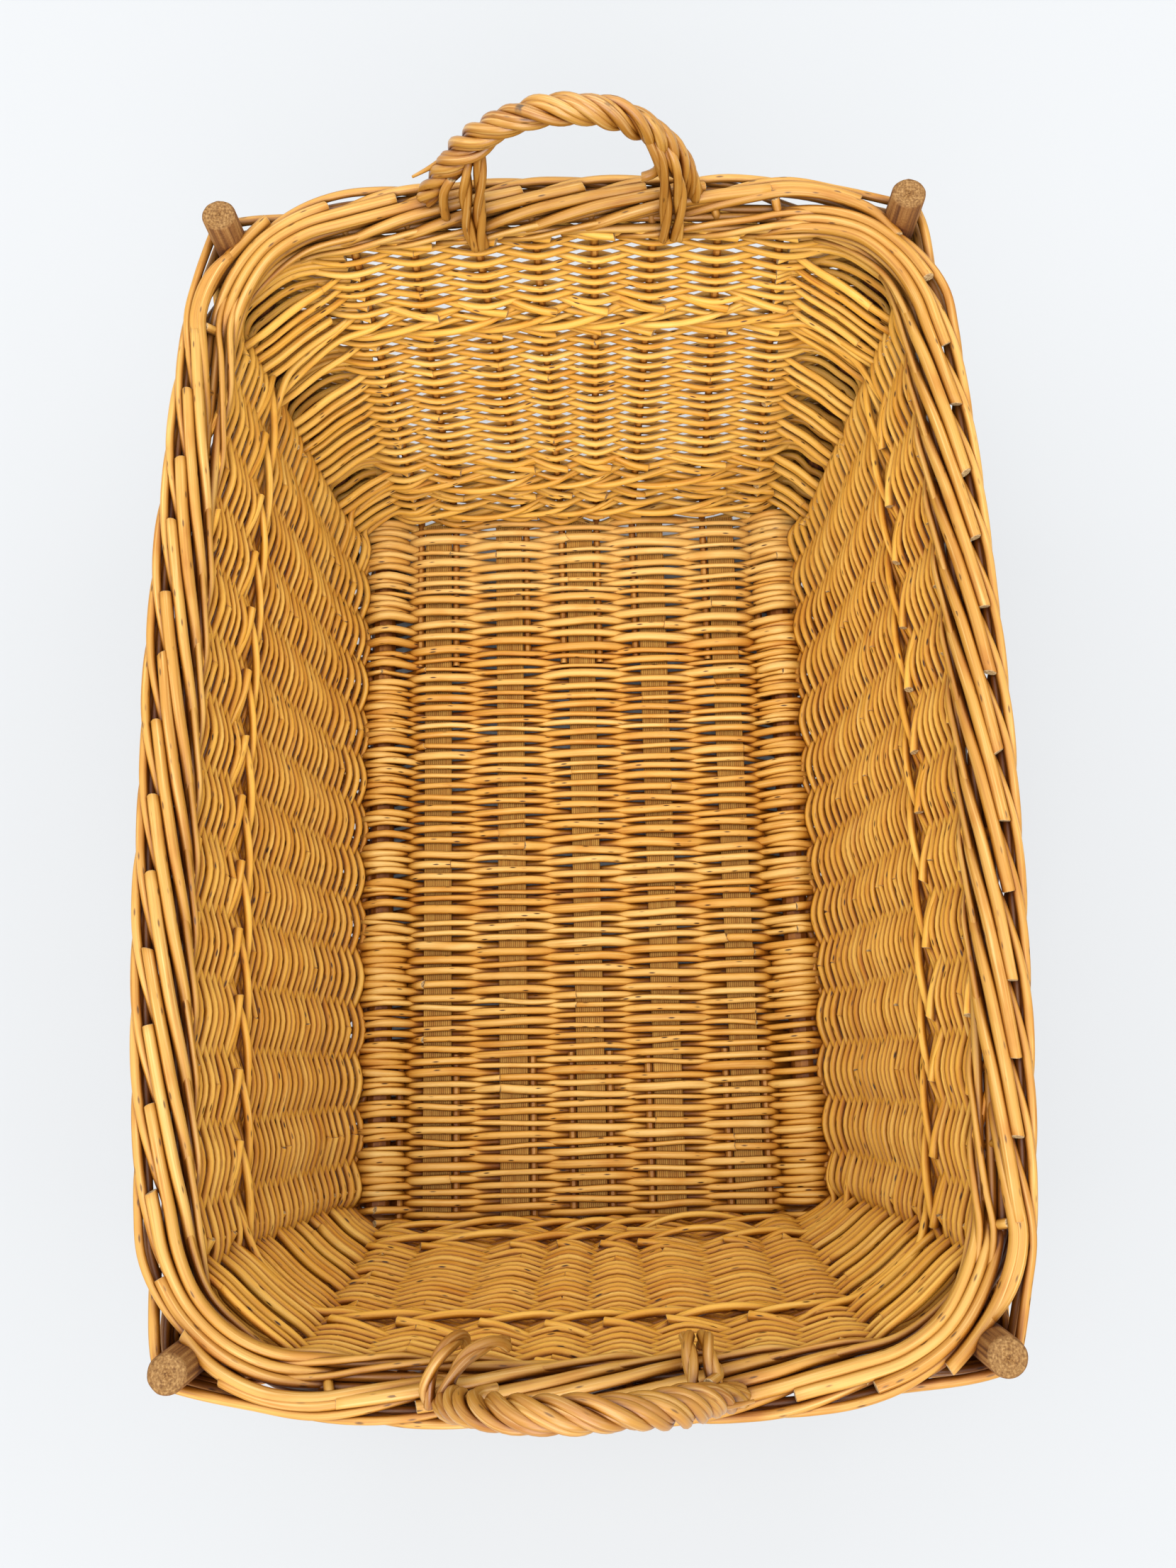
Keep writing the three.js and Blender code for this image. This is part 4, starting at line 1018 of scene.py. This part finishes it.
def cut_rod_marks(start, out, jitter):
    """Marks of a rod from its cut end to where it dives, three stakes on or just past a post."""
    coming = range(math.ceil(start + 0.25), math.ceil(start + 3))
    posts = [u for u in coming if IS_POST[u % STATION_COUNT]]
    if posts:
        ahead = posts[0] - start
        at_post = out - CUT_ROD_SLOPE * ahead
        return [
            (start, out + jitter, 0.3352),
            (start + ahead, at_post, 0.3356 - CUT_ROD_FALL * ahead),
            (start + ahead + 0.55, at_post - 0.0005, 0.3305 - CUT_ROD_FALL * ahead),
            (start + ahead + 1.0, at_post + 0.0010, 0.3215),
            (start + ahead + 1.4, at_post + 0.0040, 0.3120),
        ]
    return [
        (start, out + jitter, 0.3352),
        (start + 1.0, out - CUT_ROD_SLOPE, 0.3352),
        (start + 1.8, out - CUT_ROD_SLOPE * 1.8, 0.3330),
        (start + 2.4, out - CUT_ROD_SLOPE * 2.3, 0.3285),
        (start + 2.9, out - CUT_ROD_SLOPE * 2.3, 0.3205),
        (start + 3.3, out - CUT_ROD_SLOPE * 1.5, 0.3110),
    ]


def stake_top(k):
    """Control points of stake k where it comes up through the rows into the border."""
    low, out, _ = stations(0.305)
    high, _, _ = stations(0.330)
    onward = (high[(k + 1) % STATION_COUNT] - high[k]) * 0.12
    return [
        lift(low[k], 0.300),
        lift(low[k] + out[k] * 0.001, 0.312),
        lift(high[k] + out[k] * 0.0075 + onward, 0.3325),
    ]


def border():
    """Thick cut rods along the top, thinner rods that rise outside them and pass below them to
    the inside, the stakes' tops, and a core."""
    outer = Rods("border_outer_rods", sides=10)
    inner = Rods("border_cut_rods", sides=12)
    for k in range(STATION_COUNT):
        for past, out in POST_BUTTS if IS_POST[k] else STAKE_BUTT:
            start = k + past + RNG.normal(0, BUTT_JITTER)
            jitter = RNG.normal(0, MARK_JITTER, 4)
            radius = RNG.uniform(*CUT_ROD_RADII) * MM
            marks = cut_rod_marks(start, out, jitter[3])
            path = spline(border_track(marks, radius, True), BORDER_ROD_STEP)
            inner.add(path, radius * np.interp(np.linspace(0, 1, len(path)), *CUT_ROD_GIRTHS))
        if IS_POST[k]:
            continue
        radius = RNG.uniform(*OUTER_ROD_RADII) * MM
        marks = OUTER_MARKS + [k + STAKE_BUTT[0][0], 0, 0]
        marks[2, 2] += jitter[0]
        marks[3:5, 1] += jitter[1:3]
        path = spline(border_track(marks, radius), BORDER_ROD_STEP)
        outer.add(path, radius * np.linspace(*OUTER_ROD_TAPER, len(path)))
        outer.add(spline(stake_top(k), STAKE_TOP_STEP), STAKE_TOP_RADIUS)
    core = Rods("border_core_rods", sides=8)
    for offset, z in CORE_COURSES:
        marks = [(0, offset, z), (STATION_COUNT, offset, z)]
        core.add(spline(border_track(marks, CORE_RADIUS, True), CORE_STEP), CORE_RADIUS)
    for rods in (core, outer, inner):
        rods.build(border_willow, "border_willow", "border")


border()


# Handles

HANDLE_Y = 0.367
FOOT_OUTSET = 0.002
NEAR_SPAN = 0.91
HANDLE_STEP = 0.003
ROPE_WIND = 5.4 * MM
ROPE_PITCH = 0.064
ROPE_START = 0.4
ROPE_HEART = 3.2 * MM
STRANDS = 4
STRAND_WIND = 1.6 * MM
STRAND_ROD = 3.4 * MM
STRAND_GIRTHS = (0.94, 1.06)
LEG_WIND = 1.6 * MM
LEG_ROD = 2.9 * MM
LOOSE_ROD = 3.1 * MM
# How often the two rods of a strand or leg turn round each other, and how far round they start
PAIR_TURNS = 1.2
PAIR_START = 6

# The rope's middle line in x and z, and how wide its strands wind there
BOW_COURSE = [
    (-0.0900, 0.342, 0.45),
    (-0.0800, 0.358, 0.75),
    (-0.0690, 0.377, 1.10),
    (-0.0545, 0.396, 1.15),
    (-0.0380, 0.4115, 1.0),
    (-0.0160, 0.4230, 1.0),
    (0.0060, 0.4262, 1.0),
    (0.0280, 0.4225, 1.0),
    (0.0480, 0.4105, 1.0),
    (0.0640, 0.3920, 1.0),
    (0.0750, 0.3690, 0.9),
    (0.0820, 0.3480, 0.6),
    (0.0850, 0.3360, 0.45),
]
FAR_LEGS = [
    [(-0.0580, 0.3670, 0.391), (-0.0600, 0.3590, 0.376), (-0.0625, 0.3545, 0.354),
     (-0.0625, 0.3505, 0.334), (-0.0600, 0.3470, 0.317)],
    [(-0.0500, 0.3670, 0.399), (-0.0510, 0.3600, 0.380), (-0.0535, 0.3545, 0.356),
     (-0.0550, 0.3505, 0.334), (-0.0545, 0.3470, 0.317)],
    [(0.0500, 0.3670, 0.409), (0.0590, 0.3590, 0.396), (0.0650, 0.3555, 0.370),
     (0.0665, 0.3520, 0.348), (0.0660, 0.3480, 0.318)],
    [(0.0620, 0.3670, 0.395), (0.0690, 0.3590, 0.386), (0.0745, 0.3550, 0.366),
     (0.0755, 0.3520, 0.346), (0.0740, 0.3480, 0.318)],
]
NEAR_LEGS = [
    [(0.0700, -0.3700, 0.362), (0.0665, -0.3560, 0.362), (0.0650, -0.3440, 0.355),
     (0.0640, -0.3395, 0.342), (0.0635, -0.3440, 0.326)],
    [(0.0570, -0.3680, 0.366), (0.0555, -0.3560, 0.364), (0.0548, -0.3440, 0.355),
     (0.0545, -0.3395, 0.342), (0.0545, -0.3440, 0.326)],
    [(-0.0840, -0.3700, 0.348), (-0.0830, -0.3580, 0.358), (-0.0770, -0.3450, 0.360),
     (-0.0690, -0.3375, 0.348), (-0.0670, -0.3420, 0.326)],
    [(-0.0760, -0.3740, 0.354), (-0.0720, -0.3600, 0.365), (-0.0640, -0.3470, 0.364),
     (-0.0520, -0.3400, 0.354), (-0.0430, -0.3420, 0.334)],
]
# Ends that stand clear of the rope, each with how thin it gets: a strand tip, a stub, an inner
# hook and an outer end
LOOSE_ENDS = [
    (0.3, [(-0.0640, 0.3700, 0.388), (-0.0780, 0.3710, 0.374), (-0.0870, 0.3710, 0.367),
           (-0.0960, 0.3700, 0.3620)]),
    (1, [(-0.0700, 0.3600, 0.372), (-0.0755, 0.3580, 0.362), (-0.0770, 0.3570, 0.352),
         (-0.0770, 0.3560, 0.338)]),
    (1, [(0.0600, 0.3640, 0.400), (0.0625, 0.3630, 0.382), (0.0595, 0.3620, 0.370),
         (0.0510, 0.3610, 0.3665)]),
    (1, [(0.0700, 0.3700, 0.380), (0.0800, 0.3690, 0.366), (0.0850, 0.3680, 0.354),
         (0.0870, 0.3670, 0.346)]),
]


def twisted(line, count, wind, turns, phase):
    """Paths of count rods wound round a line, on circles of radius wind."""
    _, side, up = frames(line)
    length = np.concatenate([[0], np.cumsum(np.linalg.norm(np.diff(line, axis=0), axis=1))])
    for i in range(count):
        angle = phase + 2 * np.pi * (i / count + turns * length / length[-1])
        reach = np.broadcast_to(wind, angle.shape)
        yield line + side * (np.cos(angle) * reach)[:, None] + up * (np.sin(angle) * reach)[:, None]


def handle(name, hand, legs, node):
    """A roped bow with its legs and loose ends, at the far end if hand is 1."""
    rods = Rods(name, sides=10)
    span = 1 if hand > 0 else NEAR_SPAN
    course = np.array(BOW_COURSE) * [span, 1, 1]
    share = np.abs(np.linspace(-1, 1, len(course)))
    y = HANDLE_Y + FOOT_OUTSET * share**2
    line = spline(np.stack([course[:, 0], y, course[:, 1]], 1), HANDLE_STEP)
    wind = np.interp(line[:, 0], course[:, 0], course[:, 2]) * ROPE_WIND
    length = np.linalg.norm(np.diff(line, axis=0), axis=1).sum()
    line = line * [hand, hand, 1]
    for strand in twisted(line, STRANDS, wind, length / ROPE_PITCH, ROPE_START):
        for rod in twisted(strand, 2, STRAND_WIND, PAIR_TURNS, RNG.random() * PAIR_START):
            rods.add(rod, RNG.uniform(*STRAND_GIRTHS) * STRAND_ROD)
    rods.add(line, ROPE_HEART)
    for points in legs:
        path = spline(points, HANDLE_STEP)
        for rod in twisted(path, 2, LEG_WIND, PAIR_TURNS, RNG.random() * PAIR_START):
            rods.add(rod, LEG_ROD)
    for tip, points in LOOSE_ENDS:
        path = spline(np.array(points) * [span * hand, hand, 1], HANDLE_STEP)
        rods.add(path, LOOSE_ROD * np.linspace(1, tip, len(path)))
    rods.build(handle_willow, "handle_willow", node)


handle("handle_far_rope", 1, FAR_LEGS, "handle_far")
handle("handle_near_rope", -1, NEAR_LEGS, "handle_near")


# Stage, lights and camera

CAMERA_PLACE = (0.0216, -0.2647, 1.2289)
CAMERA_TILT = math.radians(14.79)
CAMERA_YAW = math.radians(3.37)
CAMERA_ROLL = math.radians(-4.75)
FOCAL_SHARE = 2200 / 2212
SENSOR = 36.0
SUN_SPREAD = math.radians(45)
# Where each light comes from, and its strength
SUNS = [
    ((-0.03, -0.12, 1.0), 2.3),
    ((-1.0, 0.0, 1.0), 1.4),
    ((1.0, 0.0, 1.0), 1.2),
    ((0.0, -1.0, 0.7), 3.2),
    ((0.0, 1.0, 1.0), 1.1),
]
SKY_COLOUR = (0.96, 0.98, 1, 1)
SKY_STRENGTH = 0.95
FLOOR_SIZE = 12
FLOOR_Z = -0.0005
FLOOR_PAINT = (0.150, 0.152, 0.154, 1)
FLOOR_ROUGHNESS = 0.95
# The paper glows, with a painted shadow where the basket stands close: less glow there
FLOOR_GLOW = (0.42, 0.435, 0.45, 1)
FLOOR_GLOW_REACH = 0.25
FLOOR_GLOW_SHADOW_RANGE = (0.05, 0.35)
FLOOR_GLOW_SAMPLES = 8


def stage():
    """A glowing paper floor with a painted shadow round the basket, an even sky, wide suns and the
    photograph's camera.
    """
    s = Shader("floor_paper")
    unshadowed_share = s.openness(FLOOR_GLOW_REACH, FLOOR_GLOW_SAMPLES)
    s.put(s.bsdf.inputs["Base Color"], FLOOR_PAINT)
    s.put(s.bsdf.inputs["Roughness"], FLOOR_ROUGHNESS)
    s.put(s.bsdf.inputs["Emission Color"], FLOOR_GLOW)
    # Painted shadow on the floor: the glow fades where the basket stands close
    s.put(s.bsdf.inputs["Emission Strength"], s.step(unshadowed_share, *FLOOR_GLOW_SHADOW_RANGE))
    bpy.ops.mesh.primitive_plane_add(size=FLOOR_SIZE, location=(0, 0, FLOOR_Z))
    floor = bpy.context.active_object
    floor.name = "floor"
    floor.data.materials.append(s.material)

    world = bpy.data.worlds.new("studio")
    bpy.context.scene.world = world
    world.use_nodes = True
    sky = world.node_tree.nodes["Background"].inputs
    sky["Color"].default_value = SKY_COLOUR
    sky["Strength"].default_value = SKY_STRENGTH

    for i, (source, strength) in enumerate(SUNS):
        light = bpy.data.lights.new(f"sun_{i}", "SUN")
        light.energy = strength
        light.angle = SUN_SPREAD
        sun = bpy.data.objects.new(f"sun_{i}", light)
        sun.rotation_euler = Vector(source).to_track_quat("Z", "Y").to_euler()
        bpy.context.scene.collection.objects.link(sun)

    camera = bpy.data.cameras.new("camera")
    camera.sensor_width = SENSOR
    camera.lens = FOCAL_SHARE * SENSOR
    made = bpy.data.objects.new("camera", camera)
    made.matrix_world = (
        Matrix.Translation(CAMERA_PLACE)
        @ Matrix.Rotation(CAMERA_YAW, 4, "Z")
        @ Matrix.Rotation(CAMERA_TILT, 4, "X")
        @ Matrix.Rotation(CAMERA_ROLL, 4, "Z")
    )
    bpy.context.scene.collection.objects.link(made)
    bpy.context.scene.camera = made
    bpy.context.scene.view_settings.view_transform = "Standard"


stage()
